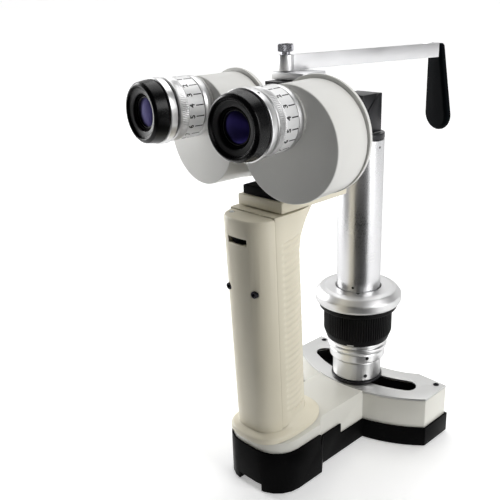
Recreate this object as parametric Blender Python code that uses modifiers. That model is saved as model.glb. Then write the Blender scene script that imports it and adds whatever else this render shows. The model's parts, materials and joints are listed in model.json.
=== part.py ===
"""Portable binocular slit lamp standing in its charging cradle.

Metres, +Z up. The origin is on the table under the illumination column at rest.
+X is the examiner's right and +Y points from the examiner to the patient.
"""

import math

import bmesh
import bpy
from mathutils import Matrix, Vector

OBJECT_NAME = "slit_lamp"

# Gaps between neighbouring pieces.
GAP = 0.0003
RUN_GAP = 0.0005
MERGE = 0.00001
ROUND = 28                     # sides of a turned piece

# Optical layout.
FOCUS_Y = 0.073                # the swing axis, where both beams cross, ahead of the column
OPTIC_Z = 0.2048               # height of the microscope's and the mirror's axis
CONVERGENCE = math.radians(6.0)
DRUM_RADIUS = 0.0283
DRUM_LENGTH = 0.0246
DRUM_FACE_X = 0.0313
DRUM_FACE_Y = -0.0967
EYE_OFFSET = 0.0135            # eyepiece axis to drum axis
DRUM_TURN = {"right": math.radians(14.9), "left": 0.0}     # inward from upright, at rest

# Base and arc track.
ARC_TOP = 0.0335
ARC_PLATE = 0.0012
SLOT_RADIUS = FOCUS_Y          # the column stands on the slot centre line
SLOT_HALF_WIDTH = 0.00625
SLOT_END = math.radians(27.3)
REAR_RADIUS = 0.0776           # the arc edge that faces the examiner
REAR_CENTRE_Y = 0.0600
FRONT_RADIUS = 0.0565          # the arc edge that faces the patient
WING_X = 0.0518
WING_FRONT_Y = 0.0250
WING_CUT_X = 0.0312            # where the arc's front edge meets the wing's straight front
NECK_HALF = 0.0173
HEEL_Y = -0.0990
HEEL_HALF = 0.0227
HEEL_CORNER = 0.0165

# Charging cradle.
FOOT_HEIGHT = 0.0010
CRADLE_FLOOR = 0.0038
CRADLE_WALL = 0.0010
CRADLE_FRONT_TOP = 0.0137
CRADLE_HEEL_TOP = 0.0275
CRADLE_WAIST_TOP = 0.0207
CRADLE_STEP_Y = -0.0385
CRADLE_FIT = 0.0003

# Handle.
HANDLE_BOTTOM_Z = 0.0338
HANDLE_TOP_Z = 0.1650
HANDLE_HALF_TOP = 0.0173
HANDLE_HALF_BOTTOM = 0.0160
SEAM_TOP_Y = -0.0910
SEAM_BOTTOM_Y = -0.0866
REAR_TOP_Y = -0.1030
REAR_BOTTOM_Y = -0.0984
GRIP_TOP_Y = -0.0640
GRIP_BOTTOM_Y = -0.0598
SHELL_WALL = 0.0022

# Head.
SLAB_HALF = 0.0162
SLAB_REAR_Y = -0.0855
SLAB_FRONT_Y = -0.0330
SLAB_Z = (0.1655, 0.1713)
MOUNT_HALF = 0.0135
MOUNT_REAR_Y = -0.0840
MOUNT_FRONT_Y = -0.0360
MOUNT_Z = (0.1716, 0.1764)
LOBE_RADIUS = 0.0300           # the microscope body's round ends behind the drums
LOBE_DEPTHS = (0.0249, 0.0275)
LOBE_LIFT = 0.0008             # lobe centre above the optical axis
LOBE_SPLIT = 0.0015            # half the gap between the lobes
WEB_HALF = 0.0105              # the web that joins them
WEB_REAR_Y = -0.0735
WEB_LOW_Z = 0.1840
BARREL_RADIUS = 0.0130
BARREL_WALL = 0.0020
BARREL_END = 0.0520
LENS_SEAT = 0.0060             # depth of the objective lens's seat in the barrel
BODY_HALF = 0.0150
BODY_REAR_Y = -0.0640
BODY_FRONT_Y = -0.0420
BODY_Z = (0.1767, 0.2265)
TOP_PLATE_HALF = 0.0102
TOP_PLATE_Y = (-0.0690, -0.0445)
TOP_PLATE_Z = (0.2268, 0.2289)
BRACKET_HALF = 0.0112
BRACKET_Y = (-0.0632, -0.0455)
BRACKET_Z = (0.2292, 0.2331)

# Illumination column, heights above the table.
TUBE_RADIUS = 0.0136
TUBE_Z = (0.0625, 0.1896)
FLANGE_RADIUS = 0.0269
RING_RADIUS = 0.0215

# Forehead rest.
PIVOT = (-0.0043, -0.0593)
BAR_AZIMUTH = math.radians(-15.6)      # swung clockwise from straight ahead
BAR_LENGTH = 0.1025
BAR_Z = (0.2336, 0.2416)
BAR_THICKNESS = 0.0030
HUB_RADIUS = 0.0041
KNOB_Z = (0.2432, 0.2472)
SHANK_RADIUS = 0.0018
PAD_LENGTH = 0.0515
PAD_THICKNESS = 0.0050
PAD_TOP_HALF = 0.0055
PAD_LOW_HALF = 0.0098
PAD_ABOVE_HINGE = 0.0035
PAD_TILT = math.radians(5.5)

# name: (colour, roughness, metallic)
FINISHES = {
    "cream_plastic": ((0.70, 0.66, 0.55), 0.50, 0.0),
    "ivory_paint": ((0.78, 0.76, 0.70), 0.35, 0.0),
    "drum_paint": ((0.62, 0.61, 0.58), 0.40, 0.0),
    "black_plastic": ((0.020, 0.020, 0.022), 0.45, 0.0),
    "black_anodised": ((0.012, 0.012, 0.014), 0.35, 0.6),
    "black_rubber": ((0.015, 0.015, 0.015), 0.80, 0.0),
    "brushed_aluminium": ((0.62, 0.61, 0.59), 0.35, 1.0),
    "satin_aluminium": ((0.72, 0.72, 0.73), 0.28, 1.0),
    "polished_steel": ((0.66, 0.66, 0.67), 0.15, 1.0),
    "scale_white": ((0.80, 0.80, 0.80), 0.30, 0.5),
    "dark_screw": ((0.06, 0.06, 0.07), 0.35, 1.0),
    "brass": ((0.75, 0.55, 0.25), 0.30, 1.0),
    "board_green": ((0.02, 0.18, 0.08), 0.50, 0.0),
    "battery_wrap": ((0.05, 0.12, 0.35), 0.40, 0.0),
    "coated_glass": ((0.10, 0.08, 0.30), 0.05, 0.0),
    "clear_glass": ((0.80, 0.85, 0.88), 0.03, 0.0),
    "mirror_silver": ((0.90, 0.90, 0.90), 0.03, 1.0),
    "green_lens": ((0.02, 0.45, 0.10), 0.20, 0.0),
    "led_yellow": ((0.85, 0.75, 0.25), 0.40, 0.0),
}


def between(low, high, share):
    return low + (high - low) * share


def clear_scene():
    for old in list(bpy.data.objects):
        bpy.data.objects.remove(old, do_unlink=True)


clear_scene()
PARTS = bpy.data.collections.new(OBJECT_NAME)
CUTTERS = bpy.data.collections.new("cutters")
bpy.context.scene.collection.children.link(PARTS)
bpy.context.scene.collection.children.link(CUTTERS)


def material_for(node, finish):
    """The node's own Principled material."""
    colour, roughness, metallic = FINISHES[finish]
    made = bpy.data.materials.new(node)
    made.use_nodes = True
    shader = made.node_tree.nodes["Principled BSDF"]
    shader.inputs["Base Color"].default_value = (*colour, 1.0)
    shader.inputs["Roughness"].default_value = roughness
    shader.inputs["Metallic"].default_value = metallic
    return made


def add_part(name, mesh, finish, frame=None, smooth=True):
    """Links a mesh as a node of the object; frame is its parent empty, if it has one."""
    made = bpy.data.objects.new(name, mesh)
    PARTS.objects.link(made)
    mesh.materials.clear()
    mesh.materials.append(material_for(name, finish))
    if smooth:
        mesh.shade_smooth()
        mesh.set_sharp_from_angle(angle=math.radians(35))
    if frame is not None:
        made.parent = frame
    return made


def add_cutter(name, mesh, frame=None):
    made = bpy.data.objects.new(name, mesh)
    CUTTERS.objects.link(made)
    made.hide_render = True
    made.display_type = "WIRE"
    if frame is not None:
        made.parent = frame
    return made


def add_frame(name, location, rotation=(0.0, 0.0, 0.0), parent=None):
    """An empty that marks a joint axis or an optical axis."""
    empty = bpy.data.objects.new(name, None)
    empty.empty_display_size = 0.01
    CUTTERS.objects.link(empty)
    empty.location = location
    empty.rotation_euler = rotation
    if parent is not None:
        empty.parent = parent
    return empty


def boolean(target, tool, operation="DIFFERENCE"):
    step = target.modifiers.new(tool.name, "BOOLEAN")
    step.operation = operation
    step.solver = "EXACT"
    step.object = tool
    return target


def weld(target):
    """Closes the hairline edges that a chain of unions can leave."""
    step = target.modifiers.new("weld", "WELD")
    step.merge_threshold = MERGE
    return target


def bevel(target, width, segments=2, angle=40):
    step = target.modifiers.new("edge", "BEVEL")
    step.width = width
    step.segments = segments
    step.limit_method = "ANGLE"
    step.angle_limit = math.radians(angle)
    return target


def box_mesh(name, low, high):
    """A block between two corners."""
    mesh = bpy.data.meshes.new(name)
    shape = bmesh.new()
    bmesh.ops.create_cube(shape, size=1.0)
    size = Vector(high) - Vector(low)
    middle = (Vector(high) + Vector(low)) / 2
    bmesh.ops.scale(shape, vec=size, verts=shape.verts)
    bmesh.ops.translate(shape, vec=middle, verts=shape.verts)
    shape.to_mesh(mesh)
    shape.free()
    return mesh


def rod_mesh(name, centre, radius, length, axis="Z", segments=24):
    """A cylinder centred on a point, along a world axis."""
    mesh = bpy.data.meshes.new(name)
    shape = bmesh.new()
    bmesh.ops.create_cone(shape, cap_ends=True, segments=segments, depth=length,
                          radius1=radius, radius2=radius)
    if axis == "X":
        bmesh.ops.rotate(shape, matrix=Matrix.Rotation(math.pi / 2, 3, "Y"), verts=shape.verts)
    if axis == "Y":
        bmesh.ops.rotate(shape, matrix=Matrix.Rotation(math.pi / 2, 3, "X"), verts=shape.verts)
    bmesh.ops.translate(shape, vec=Vector(centre), verts=shape.verts)
    shape.to_mesh(mesh)
    shape.free()
    return mesh


def joined_mesh(name, meshes):
    """Several separate solids as one mesh."""
    mesh = bpy.data.meshes.new(name)
    shape = bmesh.new()
    for piece in meshes:
        shape.from_mesh(piece)
    shape.to_mesh(mesh)
    shape.free()
    return mesh


def slab_mesh(name, outline, low_z, high_z):
    """A flat outline, drawn as a filled 2D curve and extruded between two heights."""
    curve = bpy.data.curves.new(name, "CURVE")
    curve.dimensions = "2D"
    curve.fill_mode = "BOTH"
    curve.extrude = (high_z - low_z) / 2
    spline = curve.splines.new("POLY")
    spline.points.add(len(outline) - 1)
    for point, (x, y) in zip(spline.points, outline):
        point.co = (x, y, 0.0, 1.0)
    spline.use_cyclic_u = True
    holder = bpy.data.objects.new(name + "_curve", curve)
    bpy.context.scene.collection.objects.link(holder)
    holder.location = (0.0, 0.0, (low_z + high_z) / 2)
    bpy.context.view_layer.update()
    graph = bpy.context.evaluated_depsgraph_get()
    mesh = bpy.data.meshes.new_from_object(holder.evaluated_get(graph))
    mesh.transform(holder.matrix_world)
    bpy.data.objects.remove(holder, do_unlink=True)
    shape = bmesh.new()
    shape.from_mesh(mesh)
    bmesh.ops.remove_doubles(shape, verts=shape.verts, dist=MERGE)
    bmesh.ops.recalc_face_normals(shape, faces=shape.faces)
    shape.to_mesh(mesh)
    shape.free()
    return mesh


def turned(name, profile, segments=ROUND, closed=False, as_cutter=False, finish=None, frame=None):
    """A Screw of a profile of (radius, height) points, listed down its outer side.

    An open profile starts and ends on the axis; a closed one is a ring.
    """
    mesh = bpy.data.meshes.new(name)
    shape = bmesh.new()
    verts = [shape.verts.new((radius, 0.0, height)) for radius, height in profile]
    for first, second in zip(verts, verts[1:]):
        shape.edges.new((first, second))
    if closed:
        shape.edges.new((verts[-1], verts[0]))
    shape.to_mesh(mesh)
    shape.free()
    made = add_cutter(name, mesh, frame) if as_cutter else add_part(name, mesh, finish, frame, smooth=False)
    spin = made.modifiers.new("turn", "SCREW")
    spin.axis = "Z"
    spin.angle = 2 * math.pi
    spin.steps = segments
    spin.render_steps = segments
    spin.use_merge_vertices = True
    spin.merge_threshold = MERGE
    spin.use_smooth_shade = True
    return made


def ring_profile(inner, outer, low, high):
    """The closed profile of a square-edged ring."""
    return [(inner, high), (outer, high), (outer, low), (inner, low)]


def swing_arc(radius, start, end, count, centre_y=FOCUS_Y):
    """Points on the rear side of a circle round a point ahead of the column, angles from straight back."""
    angles = [between(start, end, index / count) for index in range(count + 1)]
    return [(radius * math.sin(angle), centre_y - radius * math.cos(angle)) for angle in angles]


def round_arc(centre, radius, start, end, count):
    step = (end - start) / (count - 1)
    angles = [start + step * index for index in range(count)]
    x, y = centre
    return [(x + radius * math.cos(angle), y + radius * math.sin(angle)) for angle in angles]


def offset(outline, distance):
    """Moves a counter-clockwise outline outwards, with mitred corners."""
    moved = []
    count = len(outline)
    for index in range(count):
        before = Vector(outline[index - 1])
        here = Vector(outline[index])
        after = Vector(outline[(index + 1) % count])
        first = (here - before).normalized()
        second = (after - here).normalized()
        normal = Vector((first.y + second.y, -first.x - second.x)).normalized()
        cosine = normal.x * first.y - normal.y * first.x
        shifted = here + normal * (distance / cosine)
        moved.append((shifted.x, shifted.y))
    return moved


# ---------------------------------------------------------------- cradle and base

REAR_CORNER_ANGLE = math.asin(NECK_HALF / REAR_RADIUS)
WING_REAR_ANGLE = math.asin(WING_X / REAR_RADIUS)
WING_FRONT_ANGLE = math.asin(WING_CUT_X / FRONT_RADIUS)
WAIST_Y = -0.0560              # where the neck starts to widen into the heel
HEEL_FRONT_Y = -0.0630


def base_outline():
    """The stand seen from above, counter-clockwise from the heel."""
    heel_centre = (HEEL_HALF - HEEL_CORNER, HEEL_Y + HEEL_CORNER)
    half = round_arc(heel_centre, HEEL_CORNER, -math.pi / 2, 0.0, 6)
    half += [(HEEL_HALF, HEEL_FRONT_Y), (NECK_HALF, WAIST_Y)]
    half += swing_arc(REAR_RADIUS, REAR_CORNER_ANGLE, WING_REAR_ANGLE, 7, REAR_CENTRE_Y)
    half += [(WING_X, WING_FRONT_Y)]
    half += swing_arc(FRONT_RADIUS, WING_FRONT_ANGLE, 0.0, 7)
    return half + [(-x, y) for x, y in reversed(half[:-1])]


def arc_plate_outline(grow=0.0):
    """The arc track's cover: the same front as the stand, cut off at the rear radius."""
    rear = REAR_RADIUS + grow
    half = swing_arc(rear, 0.0, math.asin(WING_X / rear), 10, REAR_CENTRE_Y)
    half += [(WING_X + grow, WING_FRONT_Y + grow)]
    half += swing_arc(FRONT_RADIUS - grow, WING_FRONT_ANGLE, 0.0, 7)
    return half + [(-x, y) for x, y in reversed(half[1:-1])]


def slot_outline(half_width, end_angle, rounded=True):
    """A slot that follows the swing circle."""
    outer = swing_arc(SLOT_RADIUS + half_width, -end_angle, end_angle, 13)
    inner = swing_arc(SLOT_RADIUS - half_width, end_angle, -end_angle, 13)
    if not rounded:
        return outer + inner
    right = (SLOT_RADIUS * math.sin(end_angle), FOCUS_Y - SLOT_RADIUS * math.cos(end_angle))
    left = (-right[0], right[1])
    right_cap = round_arc(right, half_width, end_angle - math.pi / 2, end_angle + math.pi / 2, 8)
    left_cap = round_arc(left, half_width, math.pi / 2 - end_angle, 3 * math.pi / 2 - end_angle, 8)
    return outer + right_cap[1:-1] + inner + left_cap[1:-1]


SCREW_X = 0.0465
SCREW_Y = 0.0220
SCREW_HEAD_RADIUS = 0.0017
CONTACT_Y = -0.030
PIN_RADIUS = 0.0015
CONTACT_RADIUS = 0.0035
MAT_INSET = 0.0045
MAT_THICKNESS = 0.0016
INLET_X = 0.0010
INLET_HALF = 0.0085
INLET_DEPTH = 0.0160           # how far the notch in the rear wall's lower edge reaches in
INLET_NOTCH_TOP = 0.0054
INLET_LENGTH = 0.0040          # the socket at the notch's inner end
INLET_MOUTH = (0.0030, 0.0022, 0.0005)     # half-width, depth, wall above and below
CLEAR_X = 0.08                 # beyond the sides of the stand, for what cuts it
CLEAR_Z = 0.040                # above the stand
BOTTOM_PLATE_Z = (0.0044, 0.0060)
CONTACT_THICKNESS = 0.0012
PIN_REACH = 0.0015             # how far the charging pin goes down into the tray
HOUSING_WALL = 0.0022
HOUSING_FLOOR_Z = CRADLE_FLOOR + GAP
ROOF_Z = 0.0285
LEDGE_Z = ARC_TOP - ARC_PLATE - GAP
TRACK_HALF = 0.0090            # half-width of the track liner
TRACK_CHANNEL = 0.0078         # half-width of its channel
TRACK_END = math.radians(33.8)
CHANNEL_END = math.radians(32.6)
TRACK_Z = (0.0215, 0.0304)
TRACK_FLOOR_Z = 0.0240


def build_cradle():
    """The charging cradle: a tray that follows the stand, higher round the heel."""
    outline = base_outline()
    outer = offset(outline, CRADLE_FIT + CRADLE_WALL)
    inner = offset(outline, CRADLE_FIT)
    solid = slab_mesh("cradle_tray", outer, FOOT_HEIGHT, CRADLE_HEEL_TOP)
    tray = add_part("cradle_tray", solid, "black_plastic")
    pocket = slab_mesh("tray_pocket", inner, CRADLE_FLOOR, CLEAR_Z)
    low_step = box_mesh("low_step", (-CLEAR_X, CRADLE_STEP_Y, CRADLE_FRONT_TOP), (CLEAR_X, 0.06, CLEAR_Z))
    waist_low = (-CLEAR_X, HEEL_FRONT_Y - 0.0006, CRADLE_WAIST_TOP)
    mid_step = box_mesh("mid_step", waist_low, (CLEAR_X, CRADLE_STEP_Y + 0.001, CLEAR_Z))
    boolean(tray, add_cutter("tray_pocket", pocket))
    boolean(tray, add_cutter("front_step", low_step))
    boolean(tray, add_cutter("waist_step", mid_step))
    mat_outline = offset(outline, -MAT_INSET)
    recess = slab_mesh("mat_recess", offset(mat_outline, GAP), -0.001, MAT_THICKNESS + GAP)
    boolean(tray, add_cutter("mat_recess", recess))
    sheet = slab_mesh("anti_slip_mat", mat_outline, 0.0, MAT_THICKNESS)
    mat = add_part("anti_slip_mat", sheet, "black_rubber")

    wall_y = HEEL_Y - CRADLE_FIT - CRADLE_WALL
    notch_low = (INLET_X - INLET_HALF - GAP, wall_y - 0.002, -0.001)
    notch_high = (INLET_X + INLET_HALF + GAP, wall_y + INLET_DEPTH + GAP, INLET_NOTCH_TOP)
    notch = add_cutter("inlet_notch", box_mesh("inlet_notch", notch_low, notch_high))
    boolean(tray, notch)
    boolean(mat, notch)
    socket_low = (INLET_X - INLET_HALF, wall_y + INLET_DEPTH - INLET_LENGTH, FOOT_HEIGHT)
    socket_high = (INLET_X + INLET_HALF, wall_y + INLET_DEPTH, CRADLE_FLOOR - GAP)
    socket = add_part("inlet_socket", box_mesh("inlet_socket", socket_low, socket_high), "black_plastic")
    half, depth, wall = INLET_MOUTH
    mouth_low = (INLET_X - half, socket_low[1] - 0.001, socket_low[2] + wall)
    mouth_high = (INLET_X + half, socket_low[1] + depth, socket_high[2] - wall)
    boolean(socket, add_cutter("inlet_mouth", box_mesh("inlet_mouth", mouth_low, mouth_high)))

    pin_z = (CRADLE_FLOOR - PIN_REACH, HOUSING_FLOOR_Z - GAP / 2)
    pin_hole = rod_mesh("pin_hole", (0.0, CONTACT_Y, 0.003), PIN_RADIUS + GAP, 0.012, segments=16)
    boolean(tray, add_cutter("pin_hole", pin_hole))
    pin_middle = (0.0, CONTACT_Y, (pin_z[0] + pin_z[1]) / 2)
    pin = rod_mesh("charging_pin", pin_middle, PIN_RADIUS, pin_z[1] - pin_z[0], segments=16)
    add_part("charging_pin", pin, "brass")
    return tray


def build_base():
    """The stand's housing with the arc track in its top."""
    outline = base_outline()
    solid = slab_mesh("base_housing", outline, HOUSING_FLOOR_Z, ARC_TOP)
    housing = add_part("base_housing", solid, "ivory_paint")
    cavity = slab_mesh("base_cavity", offset(outline, -HOUSING_WALL), HOUSING_FLOOR_Z - 0.002, ROOF_Z)
    recess = slab_mesh("plate_recess", arc_plate_outline(GAP), LEDGE_Z, CLEAR_Z)
    mouth_outline = slot_outline(TRACK_HALF + GAP, TRACK_END + 0.004, False)
    mouth = slab_mesh("track_mouth", mouth_outline, ROOF_Z - 0.003, ARC_TOP)
    boolean(housing, add_cutter("base_cavity", cavity))
    boolean(housing, add_cutter("plate_recess", recess))
    boolean(housing, add_cutter("track_mouth", mouth))

    sheet = slab_mesh("arc_plate", arc_plate_outline(), LEDGE_Z + GAP, ARC_TOP)
    plate = add_part("arc_plate", sheet, "brushed_aluminium")
    slot = slab_mesh("arc_slot", slot_outline(SLOT_HALF_WIDTH, SLOT_END), LEDGE_Z - 0.002, CLEAR_Z)
    boolean(plate, add_cutter("arc_slot", slot))
    for side, word in ((1, "right"), (-1, "left")):
        pit_middle = (side * SCREW_X, SCREW_Y, ARC_TOP)
        pit = rod_mesh("pit", pit_middle, SCREW_HEAD_RADIUS + GAP, 0.0028, segments=16)
        boolean(plate, add_cutter("arc_screw_pit_" + word, pit))
        head_middle = (side * SCREW_X, SCREW_Y, ARC_TOP - 0.0004)
        head = rod_mesh("head", head_middle, SCREW_HEAD_RADIUS, 0.0014, segments=16)
        add_part("arc_plate_screw_" + word, head, "dark_screw")

    liner_outline = slot_outline(TRACK_HALF, TRACK_END, False)
    solid = slab_mesh("arc_track_liner", liner_outline, *TRACK_Z)
    liner = add_part("arc_track_liner", solid, "black_anodised")
    channel_outline = slot_outline(TRACK_CHANNEL, CHANNEL_END, False)
    channel = slab_mesh("track_channel", channel_outline, TRACK_FLOOR_Z, CLEAR_Z)
    boolean(liner, add_cutter("track_channel", channel))

    cover_outline = offset(outline, -HOUSING_WALL - GAP)
    sheet = slab_mesh("base_bottom_plate", cover_outline, *BOTTOM_PLATE_Z)
    cover = add_part("base_bottom_plate", sheet, "black_plastic")
    contact_middle = (0.0, CONTACT_Y, BOTTOM_PLATE_Z[0] + 0.0009)
    hole = rod_mesh("contact_hole", contact_middle, CONTACT_RADIUS + GAP, 0.0040, segments=20)
    boolean(cover, add_cutter("contact_hole", hole))
    disc = rod_mesh("base_contact", contact_middle, CONTACT_RADIUS, CONTACT_THICKNESS, segments=20)
    add_part("base_contact", disc, "brass")


build_cradle()
build_base()


# ---------------------------------------------------------------- handle

SECTION_POINTS = 9             # round one half of the handle's outline
SECTION_MIDDLE = 0.0090        # from the seam to the handle's widest place
REAR_SQUARENESS = 2.9          # superellipse exponents of the outline's two halves
FRONT_SQUARENESS = 2.4
FLARE_Z = 0.1420               # where the grip starts to reach forward under the head
FLARE_REACH = 0.0150
FLARE_POWER = 1.8
FLARE_HEIGHTS = (0.1500, 0.1570)
COLLAR_STEPS = (              # height, growth at the sides and rear, growth at the front
    (0.0338, 0.0040, 0.0125),
    (0.0362, 0.0040, 0.0125),
    (0.0368, 0.0030, 0.0114),
    (0.0383, 0.0022, 0.0100),
)
COVER_BOTTOM_Z = 0.0386
COVER_TOP_ROUNDING = 0.0018
WINDOW_Z = 0.1522
WHEEL_RADIUS = 0.0084
WHEEL_Y = -0.0936
WHEEL_HALF_WIDTH = 0.0014
WINDOW_HALF = (0.0068, 0.0018)             # half-width and half-height
COVER_SCREW = (0.0095, -0.0998, 0.1240)    # middle of the right-hand one
COVER_SCREW_RADIUS = 0.0019
LIGHT_PLACE = (-0.0105, -0.0955)
LIGHT_RADIUS = 0.0014
BATTERY = ((-0.0095, -0.0850, 0.0500), (0.0095, -0.0700, 0.1160))
BOARD = ((-0.0110, -0.0875, 0.0470), (0.0110, -0.0861, 0.1380))


def handle_section(z, inset=0.0):
    """The handle's outline at a height: a superellipse whose rear and front halves differ in depth."""
    share = (z - HANDLE_BOTTOM_Z) / (HANDLE_TOP_Z - HANDLE_BOTTOM_Z)
    half = between(HANDLE_HALF_BOTTOM, HANDLE_HALF_TOP, share) - inset
    seam = between(SEAM_BOTTOM_Y, SEAM_TOP_Y, share)
    rear = between(REAR_BOTTOM_Y, REAR_TOP_Y, share) + inset
    flare = max(0.0, (z - FLARE_Z) / (HANDLE_TOP_Z - FLARE_Z))
    front = between(GRIP_BOTTOM_Y, GRIP_TOP_Y - 0.0015, share) + FLARE_REACH * flare ** FLARE_POWER - inset
    middle = seam + SECTION_MIDDLE
    halves = (
        (middle - rear, REAR_SQUARENESS, -math.pi / 2),
        (front - middle, FRONT_SQUARENESS, 0.0),
    )
    points = []
    for depth, exponent, start in halves:
        for index in range(SECTION_POINTS):
            angle = start + math.pi / 2 * index / SECTION_POINTS
            across = math.cos(angle)
            along = math.sin(angle)
            x = half * abs(across) ** (2 / exponent)
            y = middle + math.copysign(depth * abs(along) ** (2 / exponent), along)
            points.append((x, y, z))
    points.append((0.0, front, z))
    return points + [(-x, y, height) for x, y, height in reversed(points[1:-1])]


def loft_mesh(name, sections):
    """A closed solid through outlines that have the same number of points."""
    mesh = bpy.data.meshes.new(name)
    shape = bmesh.new()
    rings = [[shape.verts.new(point) for point in section] for section in sections]
    shape.faces.new(list(reversed(rings[0])))
    shape.faces.new(rings[-1])
    for below, above in zip(rings, rings[1:]):
        count = len(below)
        for index in range(count):
            after = (index + 1) % count
            shape.faces.new((below[index], below[after], above[after], above[index]))
    shape.to_mesh(mesh)
    shape.free()
    return mesh


def handle_loft(name, inset, low_z, high_z, rounded_top=0.0):
    heights = [low_z, between(low_z, FLARE_Z, 0.5), FLARE_Z, *FLARE_HEIGHTS, high_z - rounded_top]
    sections = [handle_section(z, inset) for z in heights]
    if rounded_top > 0.0:
        sections.append(handle_section(high_z - rounded_top * 0.3, inset + rounded_top * 0.3))
        sections.append(handle_section(high_z, inset + rounded_top))
    else:
        sections[-1] = handle_section(high_z, inset)
    return loft_mesh(name, sections)


def seam_block(name, gap, rearward):
    """Half-space on one side of the seam between the grip shell and the rear cover."""
    shift = SEAM_TOP_Y - SEAM_BOTTOM_Y
    block = bpy.data.meshes.new(name)
    shape = bmesh.new()
    shape.from_mesh(box_mesh(name, (-0.04, 0.0, 0.02), (0.04, 0.06, 0.19)))
    for vert in shape.verts:
        seam = SEAM_BOTTOM_Y + shift * (vert.co.z - HANDLE_BOTTOM_Z) / (HANDLE_TOP_Z - HANDLE_BOTTOM_Z)
        vert.co.y = seam - gap - vert.co.y if rearward else seam + gap + vert.co.y
    if rearward:
        bmesh.ops.reverse_faces(shape, faces=shape.faces)
    shape.to_mesh(block)
    shape.free()
    return block


def build_handle():
    """Front shell, rear cover and what they hold."""
    shell = handle_loft("handle_front_shell", 0.0, HANDLE_BOTTOM_Z, HANDLE_TOP_Z)
    grip = add_part("handle_front_shell", shell, "cream_plastic")
    core = handle_loft("grip_core", SHELL_WALL, HANDLE_BOTTOM_Z + 0.0035, HANDLE_TOP_Z - 0.0025)
    boolean(grip, add_cutter("grip_core", core))
    rear_void = add_cutter("grip_rear_void", seam_block("grip_rear_void", 0.0, True))
    foot_keep = box_mesh("foot_keep", (-0.05, -0.12, 0.0), (0.05, 0.0, COVER_BOTTOM_Z - GAP))
    boolean(rear_void, add_cutter("foot_keep", foot_keep))
    boolean(grip, rear_void)

    shell = handle_loft("handle_rear_cover", 0.0, COVER_BOTTOM_Z, HANDLE_TOP_Z - 0.0006, COVER_TOP_ROUNDING)
    cover = add_part("handle_rear_cover", shell, "cream_plastic")
    cover_core = handle_loft("cover_core", SHELL_WALL, COVER_BOTTOM_Z - 0.002, HANDLE_TOP_Z - 0.0030)
    boolean(cover, add_cutter("cover_core", cover_core))
    boolean(cover, add_cutter("cover_front_void", seam_block("cover_front_void", -GAP, False)))

    window_low = (-WINDOW_HALF[0], -0.1150, WINDOW_Z - WINDOW_HALF[1])
    window_high = (WINDOW_HALF[0], -0.0975, WINDOW_Z + WINDOW_HALF[1])
    boolean(cover, add_cutter("wheel_window", box_mesh("wheel_window", window_low, window_high)))
    wheel_axis = add_frame("wheel_axis", (0.0, WHEEL_Y, WINDOW_Z))
    wheel = [(0.0, WHEEL_HALF_WIDTH), (WHEEL_RADIUS, WHEEL_HALF_WIDTH),
             (WHEEL_RADIUS, -WHEEL_HALF_WIDTH), (0.0, -WHEEL_HALF_WIDTH)]
    turned("brightness_wheel", wheel, 24, finish="black_plastic", frame=wheel_axis)

    for side, word in ((1, "right"), (-1, "left")):
        place = (side * COVER_SCREW[0], *COVER_SCREW[1:])
        pit_middle = (place[0], -0.1080, place[2])
        pit = rod_mesh("pit", pit_middle, COVER_SCREW_RADIUS + GAP, 0.020, axis="Y", segments=16)
        boolean(cover, add_cutter("cover_screw_pit_" + word, pit))
        screw = rod_mesh("screw", place, COVER_SCREW_RADIUS, 0.0020, axis="Y", segments=16)
        add_part("cover_screw_" + word, screw, "dark_screw")

    hole = rod_mesh("light_hole", (*LIGHT_PLACE, HANDLE_TOP_Z), LIGHT_RADIUS + GAP, 0.012, segments=16)
    boolean(cover, add_cutter("light_hole", hole))
    light_middle = (*LIGHT_PLACE, HANDLE_TOP_Z - 0.0015)
    light = rod_mesh("status_light", light_middle, LIGHT_RADIUS, 0.0030, segments=16)
    add_part("status_light", light, "green_lens")

    pack = add_part("battery_pack", box_mesh("battery_pack", *BATTERY), "battery_wrap")
    bevel(pack, 0.0030)
    add_part("circuit_board", box_mesh("circuit_board", *BOARD), "board_green")


def build_collar():
    """The stepped flange at the handle's foot, deeper in front."""
    outer = []
    for height, side_growth, front_growth in COLLAR_STEPS:
        ring = handle_section(HANDLE_BOTTOM_Z + 0.002, -side_growth)
        front = max(y for x, y, z in ring)
        middle = SEAM_BOTTOM_Y + SECTION_MIDDLE
        stretch = (front_growth - side_growth) / (front - middle)
        outer.append([(x, y + max(0.0, y - middle) * stretch, height) for x, y, z in ring])
    collar = add_part("handle_foot_collar", loft_mesh("handle_foot_collar", outer), "ivory_paint")
    throat = handle_loft("collar_throat", -GAP, HANDLE_BOTTOM_Z - 0.002, HANDLE_TOP_Z)
    boolean(collar, add_cutter("collar_throat", throat))


build_handle()
build_collar()


# ---------------------------------------------------------------- head

DRUM_WALL = 0.0022
DRUM_FACE = 0.0025
EYE_BORE = 0.0095
BEAM_BORE = 0.0070
PIVOT_TUBE_RADIUS = 0.0090
PIVOT_TUBE_START = 0.0220
SEAT_TOP = 0.0063
RING_OUTER = 0.0159
RING_SPAN = (0.0068, 0.0218)
CELL_OUTER = 0.0165
CUP_OUTER = 0.0150
CELL_SPAN = (0.0228, 0.0271)
CUP_SPAN = (0.0274, 0.0350)
CUP_MOUTH = 0.0012             # depth of the eyecup's shallow mouth
PRISM = ((-0.0095, -0.0085, -0.0200), (0.0095, 0.0215, -0.0040))      # behind the drum's face
STEM_RADIUS = 0.0091           # the part of the cell that slides in the eyepiece tube
STEM_END = 0.0120
NOSE_RADIUS = 0.0090           # the part that holds the eye lens inside the eyecup
NOSE_TOP = 0.0322
CELL_BORE = 0.0080
SEAT_RADIUS = 0.0156
TUBE_WALL_RADIUS = 0.0116
TUBE_END = 0.0188


def optic_frame(side, name):
    """The axis of one drum: its local +Z leaves the drum's face towards the examiner."""
    place = (side * DRUM_FACE_X, DRUM_FACE_Y, OPTIC_Z)
    return add_frame(name, place, (math.pi / 2, 0.0, side * CONVERGENCE))


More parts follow.
